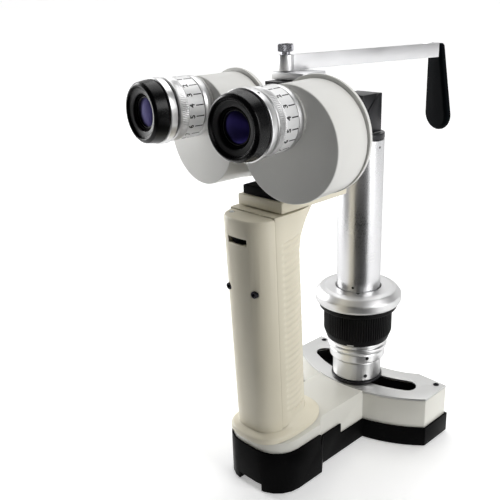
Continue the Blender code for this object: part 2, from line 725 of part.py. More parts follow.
def build_head():
    """Slab, mounting plate and the microscope body with its two objectives."""
    slab = box_mesh("head_slab", (-SLAB_HALF, SLAB_REAR_Y, SLAB_Z[0]), (SLAB_HALF, SLAB_FRONT_Y, SLAB_Z[1]))
    bevel(add_part("head_slab", slab, "cream_plastic"), 0.0006)
    mount_low = (-MOUNT_HALF, MOUNT_REAR_Y, MOUNT_Z[0])
    mount = box_mesh("mounting_plate", mount_low, (MOUNT_HALF, MOUNT_FRONT_Y, MOUNT_Z[1]))
    bevel(add_part("mounting_plate", mount, "black_anodised"), 0.0004)

    split = box_mesh("lobe_split", (-LOBE_SPLIT, -0.0790, 0.1700), (LOBE_SPLIT, -0.0500, 0.2400))
    web = box_mesh("lobe_web", (-WEB_HALF, WEB_REAR_Y, WEB_LOW_Z), (WEB_HALF, -0.0610, BODY_Z[1] - 0.0002))
    body_low = (-BODY_HALF, BODY_REAR_Y, BODY_Z[0])
    middle = box_mesh("microscope_body", body_low, (BODY_HALF, BODY_FRONT_Y, BODY_Z[1]))
    body = add_part("microscope_body", middle, "drum_paint")
    boolean(body, add_cutter("lobe_web", web), "UNION")
    bores = []
    for side, word in ((1, "right"), (-1, "left")):
        axis = optic_frame(side, "optic_axis_" + word)
        start, end = LOBE_DEPTHS
        lobe = [(0.0, -start), (LOBE_RADIUS, -start), (LOBE_RADIUS, -end + 0.0012),
                (LOBE_RADIUS - 0.0004, -end + 0.0004), (LOBE_RADIUS - 0.0013, -end), (0.0, -end)]
        barrel = [(0.0, -PIVOT_TUBE_START), (PIVOT_TUBE_RADIUS, -PIVOT_TUBE_START),
                  (PIVOT_TUBE_RADIUS, -start - 0.0014), (BARREL_RADIUS, -start - 0.0014),
                  (BARREL_RADIUS, -BARREL_END), (0.0, -BARREL_END)]
        lifted = add_frame("lobe_axis_" + word, (0.0, LOBE_LIFT, 0.0), parent=axis)
        round_end = turned("lobe_" + word, lobe, 36, as_cutter=True, frame=lifted)
        boolean(round_end, add_cutter("lobe_split_" + word, split))
        boolean(body, round_end, "UNION")
        boolean(body, turned("barrel_" + word, barrel, 20, as_cutter=True, frame=axis), "UNION")
        seat = -BARREL_END + LENS_SEAT
        mouth = BARREL_RADIUS - BARREL_WALL
        bore = [(0.0, -0.010), (BEAM_BORE, -0.010), (BEAM_BORE, seat), (mouth, seat),
                (mouth, -0.070), (0.0, -0.070)]
        bores.append(turned("beam_bore_" + word, bore, 16, as_cutter=True, frame=axis))
        rim = mouth - 0.0004
        lens = [(0.0, seat - 0.0010), (0.0050, seat - 0.0013), (rim, seat - 0.0022), (rim, seat - 0.0034),
                (0.0, seat - 0.0044)]
        turned("objective_lens_" + word, lens, 16, finish="clear_glass", frame=axis)
    flat_half = TOP_PLATE_HALF + GAP
    flat = box_mesh("top_flat", (-flat_half, -0.08, BODY_Z[1]), (flat_half, -0.03, 0.24))
    boolean(body, add_cutter("top_flat", flat))
    for bore in bores:
        boolean(body, bore)
    weld(body)

    top = box_mesh("top_plate", (-TOP_PLATE_HALF, TOP_PLATE_Y[0], TOP_PLATE_Z[0]),
                   (TOP_PLATE_HALF, TOP_PLATE_Y[1], TOP_PLATE_Z[1]))
    add_part("top_plate", top, "black_anodised")


def build_eyepiece(side, word):
    """One turning drum with its prism, eyepiece tube, dioptre ring, ocular cell, eyecup and eye lens."""
    optic = optic_frame(side, "drum_axis_" + word)
    axis = add_frame("drum_turn_" + word, (0.0, 0.0, 0.0), (0.0, 0.0, side * DRUM_TURN[word]), optic)
    rim = 0.0008
    inside = DRUM_RADIUS - DRUM_WALL
    cup = [(0.0, 0.0), (DRUM_RADIUS - rim, 0.0), (DRUM_RADIUS, -rim), (DRUM_RADIUS, -DRUM_LENGTH),
           (inside, -DRUM_LENGTH), (inside, -DRUM_FACE), (0.0, -DRUM_FACE)]
    drum = turned("drum_" + word, cup, 40, finish="drum_paint", frame=axis)
    eye = add_frame("eye_axis_" + word, (0.0, EYE_OFFSET, 0.0), parent=axis)
    port = [(0.0, 0.005), (EYE_BORE, 0.005), (EYE_BORE, -0.008), (0.0, -0.008)]
    boolean(drum, turned("eye_port_" + word, port, 24, as_cutter=True, frame=eye))
    add_part("prism_" + word, box_mesh("prism", *PRISM), "clear_glass", axis)

    tube = [(EYE_BORE, TUBE_END), (TUBE_WALL_RADIUS, TUBE_END), (TUBE_WALL_RADIUS, SEAT_TOP),
            (SEAT_RADIUS, SEAT_TOP), (SEAT_RADIUS, 0.0035), (SEAT_RADIUS - 0.0020, GAP), (EYE_BORE, GAP)]
    turned("eyepiece_tube_" + word, tube, ROUND, closed=True, finish="satin_aluminium", frame=eye)
    ring = ring_profile(TUBE_WALL_RADIUS + RUN_GAP, RING_OUTER, *RING_SPAN)
    turned("diopter_ring_" + word, ring, ROUND, closed=True, finish="scale_white", frame=eye)
    low, high = CELL_SPAN
    cell = [(CELL_BORE, NOSE_TOP), (NOSE_RADIUS, NOSE_TOP), (NOSE_RADIUS, high), (CELL_OUTER, high),
            (CELL_OUTER, low), (STEM_RADIUS, low), (STEM_RADIUS, STEM_END), (CELL_BORE, STEM_END)]
    turned("ocular_cell_" + word, cell, ROUND, closed=True, finish="satin_aluminium", frame=eye)
    low, high = CUP_SPAN
    bore = NOSE_RADIUS + GAP
    eyecup = [(0.0126, high), (0.0142, high), (CUP_OUTER, high - 0.0009), (CUP_OUTER, low), (bore, low),
              (bore, high - CUP_MOUTH - 0.0006), (0.0126, high - CUP_MOUTH)]
    turned("eyecup_" + word, eyecup, ROUND, closed=True, finish="black_plastic", frame=eye)
    rim = CELL_BORE - GAP
    top = NOSE_TOP - 0.0004
    lens = [(0.0, top), (rim / 2, top - 0.0003), (rim, top - 0.0012), (rim, top - 0.0024),
            (0.0, top - 0.0028)]
    turned("eye_lens_" + word, lens, 20, finish="coated_glass", frame=eye)


build_head()
build_eyepiece(1, "right")
build_eyepiece(-1, "left")


# ---------------------------------------------------------------- illumination column

CORE_RADIUS = 0.0110           # bore of the pieces below the tube
BODY_RADIUS = 0.0154
FOOT_RADIUS = 0.0163
COLLAR_RADIUS = 0.0176
INDEX_RADIUS = 0.0189
RING_LIP_RADIUS = 0.0245       # the ring's flared top
SLEEVE_RADIUS = 0.0166
SLEEVE_BORE = 0.0139
NECK_RADIUS = 0.0058
FOOT_Z = (0.0338, 0.0352)
LOWER_Z = (0.0355, 0.0484)
COLLAR_Z = (0.0487, 0.0555)
INDEX_Z = (0.0558, 0.0617)
RING_Z = (0.0620, 0.0866)
SELECTOR_Z = (0.0869, 0.0967)
TUBE_BORE = 0.0124
LED_RADIUS = 0.0100
JAW_Z = 0.0780
CAP_Z = (0.1899, 0.1933)
TOWER_Z = (0.1936, 0.2158)
TOWER_HALF = 0.0090
TOWER_FRONT_Y = 0.0070
TOWER_REAR_Y = -0.0095


def build_slider():
    """The block that carries the column along the arc track."""
    low, high = TRACK_FLOOR_Z + RUN_GAP, LEDGE_Z - 0.0004
    half_angle = math.radians(5.2)
    shoe_outline = slot_outline(TRACK_CHANNEL - RUN_GAP, half_angle, False)
    shoe = add_part("slider_block", slab_mesh("slider_block", shoe_outline, low, high), "brass")
    middle = (0.0, 0.0, (high - 0.001 + FOOT_Z[1] - GAP) / 2)
    length = FOOT_Z[1] - GAP - high + 0.001
    neck = rod_mesh("slider_neck", middle, NECK_RADIUS, length, segments=24)
    boolean(shoe, add_cutter("slider_neck", neck), "UNION")


def build_column():
    """The swinging column, turned pieces stacked on its own axis."""
    foot = ring_profile(NECK_RADIUS + GAP, FOOT_RADIUS, *FOOT_Z)
    turned("column_foot_ring", foot, ROUND, closed=True, finish="black_anodised")
    low, high = LOWER_Z
    cup = [(0.0, low + 0.0025), (CORE_RADIUS, low + 0.0025), (CORE_RADIUS, high),
           (BODY_RADIUS - 0.0004, high), (BODY_RADIUS, high - 0.0004), (BODY_RADIUS, low), (0.0, low)]
    turned("column_lower_body", cup, ROUND, finish="satin_aluminium")
    turned("slit_collar", ring_profile(CORE_RADIUS, COLLAR_RADIUS, *COLLAR_Z), ROUND, closed=True,
           finish="polished_steel")
    low, high = INDEX_Z
    sleeve_top = RING_Z[1] - 0.0010
    index = [(SLEEVE_BORE, sleeve_top), (SLEEVE_RADIUS, sleeve_top), (SLEEVE_RADIUS, high),
             (INDEX_RADIUS, high), (INDEX_RADIUS, low), (CORE_RADIUS, low), (CORE_RADIUS, high),
             (SLEEVE_BORE, high)]
    turned("index_ring", index, ROUND, closed=True, finish="polished_steel")

    low, high = RING_Z
    bore = SLEEVE_RADIUS + RUN_GAP
    knurl = [(bore, high), (RING_LIP_RADIUS, high), (RING_LIP_RADIUS, high - 0.0012),
             (RING_RADIUS, high - 0.0046), (RING_RADIUS, low + 0.0058),
             (RING_RADIUS - 0.0006, low + 0.0036), (INDEX_RADIUS + 0.0005, low), (bore, low)]
    turned("slit_width_ring", knurl, 36, closed=True, finish="black_rubber")

    low, high = SELECTOR_Z
    selector = [(SLEEVE_BORE, high), (0.0238, high), (0.0255, high - 0.0010), (0.0266, high - 0.0025),
                (FLANGE_RADIUS, high - 0.0040), (FLANGE_RADIUS, low + 0.0006),
                (FLANGE_RADIUS - 0.0006, low), (SLEEVE_BORE, low)]
    turned("selector_flange", selector, 36, closed=True, finish="satin_aluminium")

    turned("column_tube", ring_profile(TUBE_BORE, TUBE_RADIUS, *TUBE_Z), ROUND, closed=True,
           finish="satin_aluminium")
    led_foot = LOWER_Z[0] + 0.0030
    led = [(0.0, 0.0560), (0.0030, 0.0560), (0.0035, 0.0540), (LED_RADIUS, 0.0540),
           (LED_RADIUS, led_foot), (0.0, led_foot)]
    turned("led_module", led, 20, finish="led_yellow")
    lens = [(0.0, 0.0700), (0.0060, 0.0690), (0.0120, 0.0665), (0.0120, 0.0650), (0.0, 0.0640)]
    turned("condenser_lens", lens, 20, finish="clear_glass")
    front = [(0.0, 0.1500), (0.0120, 0.1475), (0.0120, 0.1450), (0.0, 0.1425)]
    turned("projection_lens", front, 20, finish="clear_glass")

    for side, word in ((1, "right"), (-1, "left")):
        near, far = sorted((side * 0.00015, side * 0.0062))
        jaw = box_mesh("slit_jaw", (near, -0.0050, JAW_Z), (far, 0.0050, JAW_Z + 0.0010))
        add_part("slit_jaw_" + word, jaw, "black_anodised")

    cap = ring_profile(0.0080, TUBE_RADIUS, *CAP_Z)
    turned("tube_cap", cap, ROUND, closed=True, finish="black_anodised")


def build_tower():
    """The head of the column: a 45 degree mirror behind an open front."""
    low, high = TOWER_Z
    wide = box_mesh("prism_housing", (-TOWER_HALF, TOWER_REAR_Y, low), (TOWER_HALF, TOWER_FRONT_Y, high))
    tower = add_part("prism_housing", wide, "black_anodised")
    slant = math.radians(45)
    pivot = add_frame("mirror_plane", (0.0, 0.0, OPTIC_Z), (slant, 0.0, 0.0))
    mouth = box_mesh("tower_mouth", (-0.0075, -0.030, -0.030), (0.0075, 0.030, -0.0012))
    boolean(tower, add_cutter("tower_mouth", mouth, pivot))
    for side, word in ((1, "right"), (-1, "left")):
        near, far = sorted((side * 0.0080, side * 0.0200))
        shave = box_mesh("tower_shave", (near, -0.0300, 0.0050), (far, 0.0400, 0.0300))
        boolean(tower, add_cutter("tower_shave_" + word, shave, pivot))
    glass = box_mesh("tower_mirror", (-0.0070, -0.0085, -0.0028), (0.0070, 0.0085, -0.0015))
    add_part("tower_mirror", glass, "mirror_silver", pivot)


# ---------------------------------------------------------------- forehead rest

def build_forehead_rest():
    """Bracket, swinging bar with its clamp screw, and the tilting pad."""
    bracket = box_mesh("rest_bracket", (-BRACKET_HALF, BRACKET_Y[0], BRACKET_Z[0]),
                       (BRACKET_HALF, BRACKET_Y[1], BRACKET_Z[1]))
    bevel(add_part("rest_bracket", bracket, "satin_aluminium"), 0.0004)
    swing = add_frame("rest_pivot", (*PIVOT, 0.0), (0.0, 0.0, BAR_AZIMUTH))
    low, high = BAR_Z
    half = BAR_THICKNESS / 2
    blade = box_mesh("forehead_bar", (-half, 0.0, low), (half, BAR_LENGTH, high))
    bar = add_part("forehead_bar", blade, "satin_aluminium", swing)
    hub = rod_mesh("bar_hub", (0.0, 0.0, (low + high) / 2), HUB_RADIUS, high - low, segments=24)
    boolean(bar, add_cutter("bar_hub", hub, swing), "UNION")
    inset = 0.0002
    tab_low = (-0.0100, BAR_LENGTH - 0.0022, low + inset)
    tab = box_mesh("bar_tab", tab_low, (0.0, BAR_LENGTH - inset, high - inset))
    boolean(bar, add_cutter("bar_tab", tab, swing), "UNION")
    hub_bore = rod_mesh("hub_bore", (0.0, 0.0, (low + high) / 2), SHANK_RADIUS + GAP, 0.020, segments=16)
    boolean(bar, add_cutter("hub_bore", hub_bore, swing))

    head_low, head_high = KNOB_Z
    screw = [(0.0, head_high), (HUB_RADIUS - 0.0004, head_high), (HUB_RADIUS, head_high - 0.0004),
             (HUB_RADIUS, head_low + 0.0004), (HUB_RADIUS - 0.0004, head_low), (0.0024, head_low),
             (0.0024, high + GAP), (SHANK_RADIUS, high + GAP), (SHANK_RADIUS, BRACKET_Z[1] + GAP),
             (0.0, BRACKET_Z[1] + GAP)]
    turned("clamp_screw", screw, 20, finish="polished_steel", frame=swing)

    hinge_place = (-0.0050, BAR_LENGTH + 0.0040, high - 0.0040)
    hinge = add_frame("pad_hinge", hinge_place, (PAD_TILT, 0.0, 0.0), swing)
    drop = PAD_LENGTH - PAD_LOW_HALF - PAD_ABOVE_HINGE
    corner = 0.0015
    outline = [(PAD_TOP_HALF - corner, PAD_ABOVE_HINGE), (-PAD_TOP_HALF + corner, PAD_ABOVE_HINGE),
               (-PAD_TOP_HALF, PAD_ABOVE_HINGE - corner)]
    outline += round_arc((0.0, -drop), PAD_LOW_HALF, math.pi, 2 * math.pi, 15)
    outline += [(PAD_TOP_HALF, PAD_ABOVE_HINGE - corner)]
    paddle = slab_mesh("forehead_pad", outline, -PAD_THICKNESS / 2, PAD_THICKNESS / 2)
    paddle.transform(Matrix.Rotation(math.pi / 2, 4, "X"))
    bevel(add_part("forehead_pad", paddle, "black_rubber", hinge), 0.0010)


build_slider()
build_column()
build_tower()
build_forehead_rest()
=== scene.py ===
"""Looks of the portable binocular slit lamp: finely shaped pieces, materials, light and camera.

Metres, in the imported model's frame. Every piece stands for a CAD node and takes its place from it.
"""

import json
import math

import bmesh
import bpy
import numpy as np
from mathutils import Matrix, Vector


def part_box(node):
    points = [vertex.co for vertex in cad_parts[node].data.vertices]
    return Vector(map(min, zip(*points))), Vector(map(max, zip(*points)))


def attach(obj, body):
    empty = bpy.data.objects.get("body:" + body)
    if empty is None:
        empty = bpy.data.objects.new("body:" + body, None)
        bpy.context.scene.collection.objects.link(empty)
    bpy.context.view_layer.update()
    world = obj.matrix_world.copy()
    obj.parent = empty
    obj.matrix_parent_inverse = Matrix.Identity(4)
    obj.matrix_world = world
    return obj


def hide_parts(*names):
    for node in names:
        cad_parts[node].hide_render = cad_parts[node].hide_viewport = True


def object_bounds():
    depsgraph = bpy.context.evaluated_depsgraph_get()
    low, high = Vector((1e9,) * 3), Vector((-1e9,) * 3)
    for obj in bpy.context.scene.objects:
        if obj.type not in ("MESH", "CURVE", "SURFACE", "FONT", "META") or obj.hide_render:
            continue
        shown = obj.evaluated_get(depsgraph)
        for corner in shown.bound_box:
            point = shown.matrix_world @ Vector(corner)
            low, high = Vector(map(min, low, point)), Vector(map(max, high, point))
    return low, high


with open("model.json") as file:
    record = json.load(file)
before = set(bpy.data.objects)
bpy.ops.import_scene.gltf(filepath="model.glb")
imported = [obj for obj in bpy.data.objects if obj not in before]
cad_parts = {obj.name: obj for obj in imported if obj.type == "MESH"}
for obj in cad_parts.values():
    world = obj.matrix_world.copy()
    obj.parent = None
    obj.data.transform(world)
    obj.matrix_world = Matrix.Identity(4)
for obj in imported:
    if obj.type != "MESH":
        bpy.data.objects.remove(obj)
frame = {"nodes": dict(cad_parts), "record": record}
cad_low, cad_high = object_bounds()
NODES = frame["nodes"]
HOME = {node: body for body, nodes in frame["record"]["behaviour"]["bodies"].items() for node in nodes}
SIDES = ((1, "right"), (-1, "left"))
TINY = 0.00005
HAIR = 0.0001
EDGE = 0.0004                  # a usual rounding of a turned or milled edge
PRINT = 0.00003                # how far print stands proud, and sinks in
FINE = 96                      # sides of a large turned piece
FINEST = 144                   # sides of one whose outline shows
UP = Vector((0.0, 0.0, 1.0))


# ---------------- reading the frame

def points_of(node):
    return np.array([vert.co for vert in NODES[node].data.vertices])


def span_along(node, direction):
    """Lowest and highest reach of a node along a direction."""
    reach = points_of(node) @ np.array(direction)
    return float(reach.min()), float(reach.max())


def axis_frame(node, direction):
    """A frame on a turned node's axis: +Z along the direction, its origin at the node's near end."""
    z_axis = Vector(direction).normalized()
    x_axis = UP.cross(z_axis) if abs(z_axis.z) < 0.9 else Vector((0.0, 1.0, 0.0)).cross(z_axis)
    x_axis.normalize()
    y_axis = z_axis.cross(x_axis)
    centre = z_axis * span_along(node, z_axis)[0]
    for axis in (x_axis, y_axis):
        centre += axis * sum(span_along(node, axis)) / 2
    basis = Matrix((x_axis, y_axis, z_axis)).transposed().to_4x4()
    basis.translation = centre
    return basis


def radii_of(node, place):
    """Smallest and largest radius of a node's corners about a frame's axis."""
    inverse = np.array(place.inverted())
    local = points_of(node) @ inverse[:3, :3].T + inverse[:3, 3]
    radii = np.hypot(local[:, 0], local[:, 1])
    return float(radii.min()), float(radii.max())


def radius_of(node, place):
    return radii_of(node, place)[1]


def reach_of(node, place):
    """A node's lowest and highest place along a frame's axis, measured from its origin."""
    start = place.translation.dot(place.col[2].to_3d())
    low, high = span_along(node, place.col[2].to_3d())
    return low - start, high - start


def size_of(node, place):
    """A turned node's low end, high end and radius in a frame."""
    return *reach_of(node, place), radius_of(node, place)


# ---------------- building pieces

def arc_points(centre, radius, start, end, count):
    """Points on an arc, angles in degrees."""
    angles = [math.radians(start + (end - start) * index / count) for index in range(count + 1)]
    return [(centre[0] + radius * math.cos(angle), centre[1] + radius * math.sin(angle)) for angle in angles]


def dome(radius, top, rise):
    """The outline of a lens's crown, from its rim to the middle of its top."""
    turns = np.linspace(0.0, math.pi / 2, 9)[:-1]
    return [(radius * math.cos(turn), top - rise + rise * math.sin(turn)) for turn in turns] + [(0.0, top)]


def rounded(corners, radius, steps=4):
    """A closed outline with its corners rounded. A corner may carry its own radius as a third value."""
    outline = []
    for index, corner in enumerate(corners):
        here = Vector(corner[:2])
        before = Vector(corners[index - 1][:2]) - here
        after = Vector(corners[(index + 1) % len(corners)][:2]) - here
        wanted = corner[2] if len(corner) > 2 else radius
        sharp = wanted <= 0.0 or min(before.length, after.length) < TINY
        half = 0.0 if sharp else before.angle(after) / 2
        if sharp or half > math.radians(88):
            outline.append((here.x, here.y))
            continue
        cut = min(wanted / math.tan(half), 0.45 * before.length, 0.45 * after.length)
        first = here + before.normalized() * cut
        last = here + after.normalized() * cut
        for share in (step / steps for step in range(steps + 1)):
            point = first.lerp(here, share).lerp(here.lerp(last, share), share)
            outline.append((point.x, point.y))
    return outline


def shrink(outline, distance):
    """The outline moved inwards by a distance. It runs anticlockwise."""
    moved = []
    for index, corner in enumerate(outline):
        here = Vector(corner)
        before = (here - Vector(outline[index - 1])).normalized()
        after = (Vector(outline[(index + 1) % len(outline)]) - here).normalized()
        normal = Vector((-(before.y + after.y), before.x + after.x))
        if normal.length < TINY:
            moved.append((here.x, here.y))
            continue
        normal.normalize()
        side = Vector((-before.y, before.x))
        moved.append(tuple(here + normal * distance / max(0.4, normal.dot(side))))
    return moved


def placed(name, data):
    made = bpy.data.objects.new(name, data)
    bpy.context.scene.collection.objects.link(made)
    return made


class Piece:
    """One visible piece: shells gathered in one mesh, each with its own material."""

    def __init__(self, name, node):
        self.name = name
        self.node = node
        self.shape = bmesh.new()
        self.uv = self.shape.loops.layers.uv.new("surface")
        self.materials = []

    def face(self, verts, material, flat=False, uvs=()):
        try:
            face = self.shape.faces.new(verts)
        except ValueError:
            return
        if material not in self.materials:
            self.materials.append(material)
        face.material_index = self.materials.index(material)
        face.smooth = not flat
        for loop, uv in zip(face.loops, uvs):
            loop[self.uv].uv = uv

    def skin(self, below, above, material, flat=False):
        """A band of faces between two rings of corners."""
        for index in range(len(below)):
            after = (index + 1) % len(below)
            self.face((below[index], below[after], above[after], above[index]), material, flat)

    def turn(self, place, profile, material, segments=FINE, ripple=None):
        """A closed profile of (radius, height) corners turned round the frame's axis.

        ripple(radius, height, angle) may move a point's radius, as for a knurl.
        """
        lengths = [0.0]
        for first, second in zip(profile, profile[1:] + profile[:1]):
            lengths.append(lengths[-1] + math.dist(first, second))
        rings = []
        for radius, height in profile:
            if radius < TINY:
                rings.append([self.shape.verts.new(place @ Vector((0.0, 0.0, height)))] * segments)
                continue
            ring = []
            for index in range(segments):
                angle = 2 * math.pi * index / segments
                out = ripple(radius, height, angle) if ripple else radius
                point = Vector((out * math.cos(angle), out * math.sin(angle), height))
                ring.append(self.shape.verts.new(place @ point))
            rings.append(ring)
        width = 2 * math.pi * sum(radius for radius, height in profile) / len(profile) / segments
        for index, low in enumerate(rings):
            high = rings[(index + 1) % len(rings)]
            if low[0] is low[1] and high[0] is high[1]:
                continue
            for step in range(segments):
                corners = {}
                for ring, side, end in ((low, 0, 0), (low, 1, 0), (high, 1, 1), (high, 0, 1)):
                    turned = step + side
                    corners.setdefault(ring[turned % segments], (turned * width, lengths[index + end]))
                self.face(tuple(corners), material, uvs=corners.values())

    def prism(self, place, outline, low, high, material, bevel=0.0):
        """An outline of (x, y) points raised from low to high in a frame, its edges eased by bevel."""
        levels = [(low, outline), (high, outline)]
        if bevel:
            inner = shrink(outline, bevel)
            levels = [(low, inner), (low + bevel, outline), (high - bevel, outline), (high, inner)]
        self.loft([[place @ Vector((*point, height)) for point in points] for height, points in levels],
                  material)

    def loft(self, sections, material):
        """A closed skin through outlines of the same number of points."""
        rings = [[self.shape.verts.new(point) for point in section] for section in sections]
        for below, above in zip(rings, rings[1:]):
            self.skin(below, above, material)
        self.face(list(reversed(rings[0])), material, True)
        self.face(rings[-1], material, True)

    def eased(self, width, material, segments, angle):
        """The CAD node's own form with its sharp edges rounded."""
        copy = bmesh.new()
        copy.from_mesh(NODES[self.node].data)
        bmesh.ops.remove_doubles(copy, verts=copy.verts, dist=TINY / 5)
        bmesh.ops.dissolve_limit(copy, angle_limit=math.radians(0.5), verts=copy.verts, edges=copy.edges)
        sharp = [edge for edge in copy.edges
                 if len(edge.link_faces) == 2 and edge.calc_face_angle(0.0) > math.radians(angle)]
        bmesh.ops.bevel(copy, geom=sharp, offset=width, segments=segments, profile=0.5, affect="EDGES",
                        clamp_overlap=True)
        bmesh.ops.recalc_face_normals(copy, faces=copy.faces)
        copy.verts.index_update()
        verts = [self.shape.verts.new(vert.co) for vert in copy.verts]
        for face in copy.faces:
            self.face([verts[vert.index] for vert in face.verts], material)
        copy.free()

    def lettering(self, text, size, material, wrap):
        """Raised print: the text's outline as thin solid ink, each point placed by wrap."""
        curve = bpy.data.curves.new("ink", "FONT")
        curve.body = text
        curve.size = size
        curve.align_x = "CENTER"
        curve.align_y = "CENTER"
        curve.extrude = PRINT
        curve.offset = size * 0.03
        curve.resolution_u = 2
        holder = placed("ink", curve)
        bpy.context.view_layer.update()
        mesh = holder.evaluated_get(bpy.context.evaluated_depsgraph_get()).to_mesh()
        verts = [self.shape.verts.new(wrap(vert.co)) for vert in mesh.vertices]
        for polygon in mesh.polygons:
            self.face([verts[index] for index in polygon.vertices], material, True)
        bpy.data.objects.remove(holder)
        bpy.data.curves.remove(curve)

    def done(self, angle=32):
        """The finished object, riding on its node's body and standing for the node."""
        bmesh.ops.recalc_face_normals(self.shape, faces=self.shape.faces)
        mesh = bpy.data.meshes.new(self.name)
        self.shape.to_mesh(mesh)
        self.shape.free()
        mesh.set_sharp_from_angle(angle=math.radians(angle))
        for material in self.materials:
            mesh.materials.append(material)
        made = placed(self.name, mesh)
        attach(made, HOME[self.node])
        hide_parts(self.node)


# ---------------- materials

MADE = {}                      # every material, by name
NOISE_RANGE = (0.3, 0.7)
CREASE_REACH = 0.0025          # how far from an inner corner the painted crease shade reaches
SCRATCH_RANGE = (0.64, 0.70)   # the peaks of the noise that show as scratches
SCRATCH_SCALE = 60.0
SCRATCH_STRETCH = (1.0, 14.0, 3.0)


def feed(tree, node, inputs):
    """Sets a node's inputs, each to a value or to another node's output."""
    for name, value in inputs.items():
        if isinstance(value, bpy.types.NodeSocket):
            tree.links.new(value, node.inputs[name])
        else:
            node.inputs[name].default_value = value


def wired(tree, kind, inputs, **settings):
    """The outputs of a new shader node."""
    node = tree.nodes.new("ShaderNode" + kind)
    for name, value in settings.items():
        setattr(node, name, value)
    feed(tree, node, inputs)
    return node.outputs


def ramp(tree, value, given, wanted, curve="LINEAR"):
    """Maps one range of a value to another."""
    ends = {"Value": value, "From Min": given[0], "From Max": given[1],
            "To Min": wanted[0], "To Max": wanted[1]}
    return wired(tree, "MapRange", ends, interpolation_type=curve)["Result"]


def shade(colour, share):
    """A colour made lighter or darker."""
    return (*[min(1.0, channel * share) for channel in colour], 1.0)


def surface(name, colour, roughness, metallic=0.0, mottle=0.06, mottle_scale=30.0, grain=0.0,
            grain_scale=2500.0, grain_depth=0.00002, rough_spread=0.06, stretch=(1.0, 1.0, 1.0), turned=False,
            crease_shade=0.0, specular=0.5, scratches=0.0, edge=1.0):
    """A material with broad colour variation, fine grain, uneven gloss, painted shade in its creases and
    light scratches.

    stretch draws the grain out along an axis; turned takes it round the piece instead of through space.
    edge dims what a metal mirrors at a glancing angle.
    """
    material = MADE[name] = bpy.data.materials.new(name)
    material.use_nodes = True
    tree = material.node_tree

    def noise_at(vector, scale, detail, stretched=None):
        if stretched:
            vector = wired(tree, "Mapping", {"Vector": vector, "Scale": stretched})["Vector"]
        return wired(tree, "TexNoise", {"Vector": vector, "Scale": scale, "Detail": detail})["Fac"]

    def mixed(share, first, second):
        return wired(tree, "Mix", {"Factor": share, "A": first, "B": second}, data_type="RGBA")["Result"]

    def added(first, second):
        return wired(tree, "Math", {0: first, 1: second}, operation="ADD")["Value"]

    place = wired(tree, "TexCoord", {})["Object"]
    fine_place = wired(tree, "UVMap", {}, uv_map="surface")["UV"] if turned else place
    broad = noise_at(place, mottle_scale, 4.0)
    fine = noise_at(fine_place, grain_scale, 5.0, stretch)

    painted = mixed(ramp(tree, broad, NOISE_RANGE, (0.0, 1.0)), shade(colour, 1.0 - mottle),
                    shade(colour, 1.0 + mottle))
    # painted shade: the colour is darkened where ambient occlusion finds creases and inner corners
    if crease_shade:
        crease = wired(tree, "AmbientOcclusion", {"Distance": CREASE_REACH}, samples=8)["AO"]
        painted = mixed(crease, shade(colour, 1.0 - crease_shade), painted)
    half = rough_spread / 2
    gloss = added(ramp(tree, broad, NOISE_RANGE, (roughness - half, roughness + half)),
                  ramp(tree, fine, NOISE_RANGE, (-half, half)))
    if scratches:
        lines = noise_at(place, SCRATCH_SCALE, 6.0, SCRATCH_STRETCH)
        gloss = added(gloss, ramp(tree, lines, SCRATCH_RANGE, (0.0, scratches)))
    looks = {"Metallic": metallic, "Specular IOR Level": specular, "Specular Tint": (edge, edge, edge, 1.0),
             "Base Color": painted, "Roughness": gloss}
    if grain:
        bump = {"Strength": grain, "Distance": grain_depth, "Height": fine}
        looks["Normal"] = wired(tree, "Bump", bump)["Normal"]
    feed(tree, tree.nodes["Principled BSDF"], looks)
    return material


def glass(name, tint, roughness, film, clarity):
    """Optical glass: a clear or coloured body with an anti-reflection film and faint dust."""
    material = surface(name, tint, roughness, 0.0, mottle=0.10, mottle_scale=140.0, grain=0.05,
                       grain_scale=900.0, grain_depth=0.000004, rough_spread=0.02)
    coat = {"Coat Weight": 1.0, "Coat Roughness": 0.03, "Coat Tint": (*film, 1.0),
            "Specular Tint": (*film, 1.0), "Transmission Weight": clarity, "IOR": 1.52}
    feed(material.node_tree, material.node_tree.nodes["Principled BSDF"], coat)


AROUND = (1.0, 60.0, 1.0)      # grain drawn out round a turned piece: coarse along, fine across
# cream, ivory and drum paint darken in their creases: painted shade
CREAM = surface("cream_plastic", (0.785, 0.733, 0.585), 0.44, mottle=0.022, grain=0.30, grain_scale=3400.0,
                grain_depth=0.00003, crease_shade=0.16, scratches=0.05)
IVORY = surface("ivory_paint", (0.720, 0.710, 0.650), 0.36, mottle=0.02, grain=0.22, grain_scale=1500.0,
                grain_depth=0.00002, crease_shade=0.14, scratches=0.06)
DRUM = surface("drum_paint", (0.775, 0.770, 0.738), 0.34, mottle=0.02, grain=0.25, grain_scale=1300.0,
               grain_depth=0.00002, crease_shade=0.12, scratches=0.05)
TRAY = surface("black_plastic", (0.0020, 0.0020, 0.0022), 0.30, mottle=0.25, specular=0.025, grain=0.35,
               grain_scale=2600.0, grain_depth=0.00003, rough_spread=0.10, scratches=0.10)
GLOSS = surface("black_gloss_plastic", (0.0015, 0.0015, 0.0018), 0.28, mottle=0.25, grain=0.10,
                grain_scale=1700.0, grain_depth=0.00001, rough_spread=0.06, specular=0.20, scratches=0.08)
SLATE = surface("slate_plastic", (0.004, 0.004, 0.005), 0.42, mottle=0.2, grain=0.2, grain_scale=2600.0,
                grain_depth=0.00001, rough_spread=0.08, specular=0.5)
ANODISED = surface("black_anodised", (0.012, 0.012, 0.015), 0.38, 0.30, mottle=0.3, grain=0.30,
                   grain_scale=4200.0, grain_depth=0.00001, rough_spread=0.08, scratches=0.10)
RUBBER = surface("black_rubber", (0.0022, 0.0022, 0.0026), 0.55, mottle=0.25, grain=0.5, grain_scale=3600.0,
                 grain_depth=0.00004, rough_spread=0.12, specular=0.12)
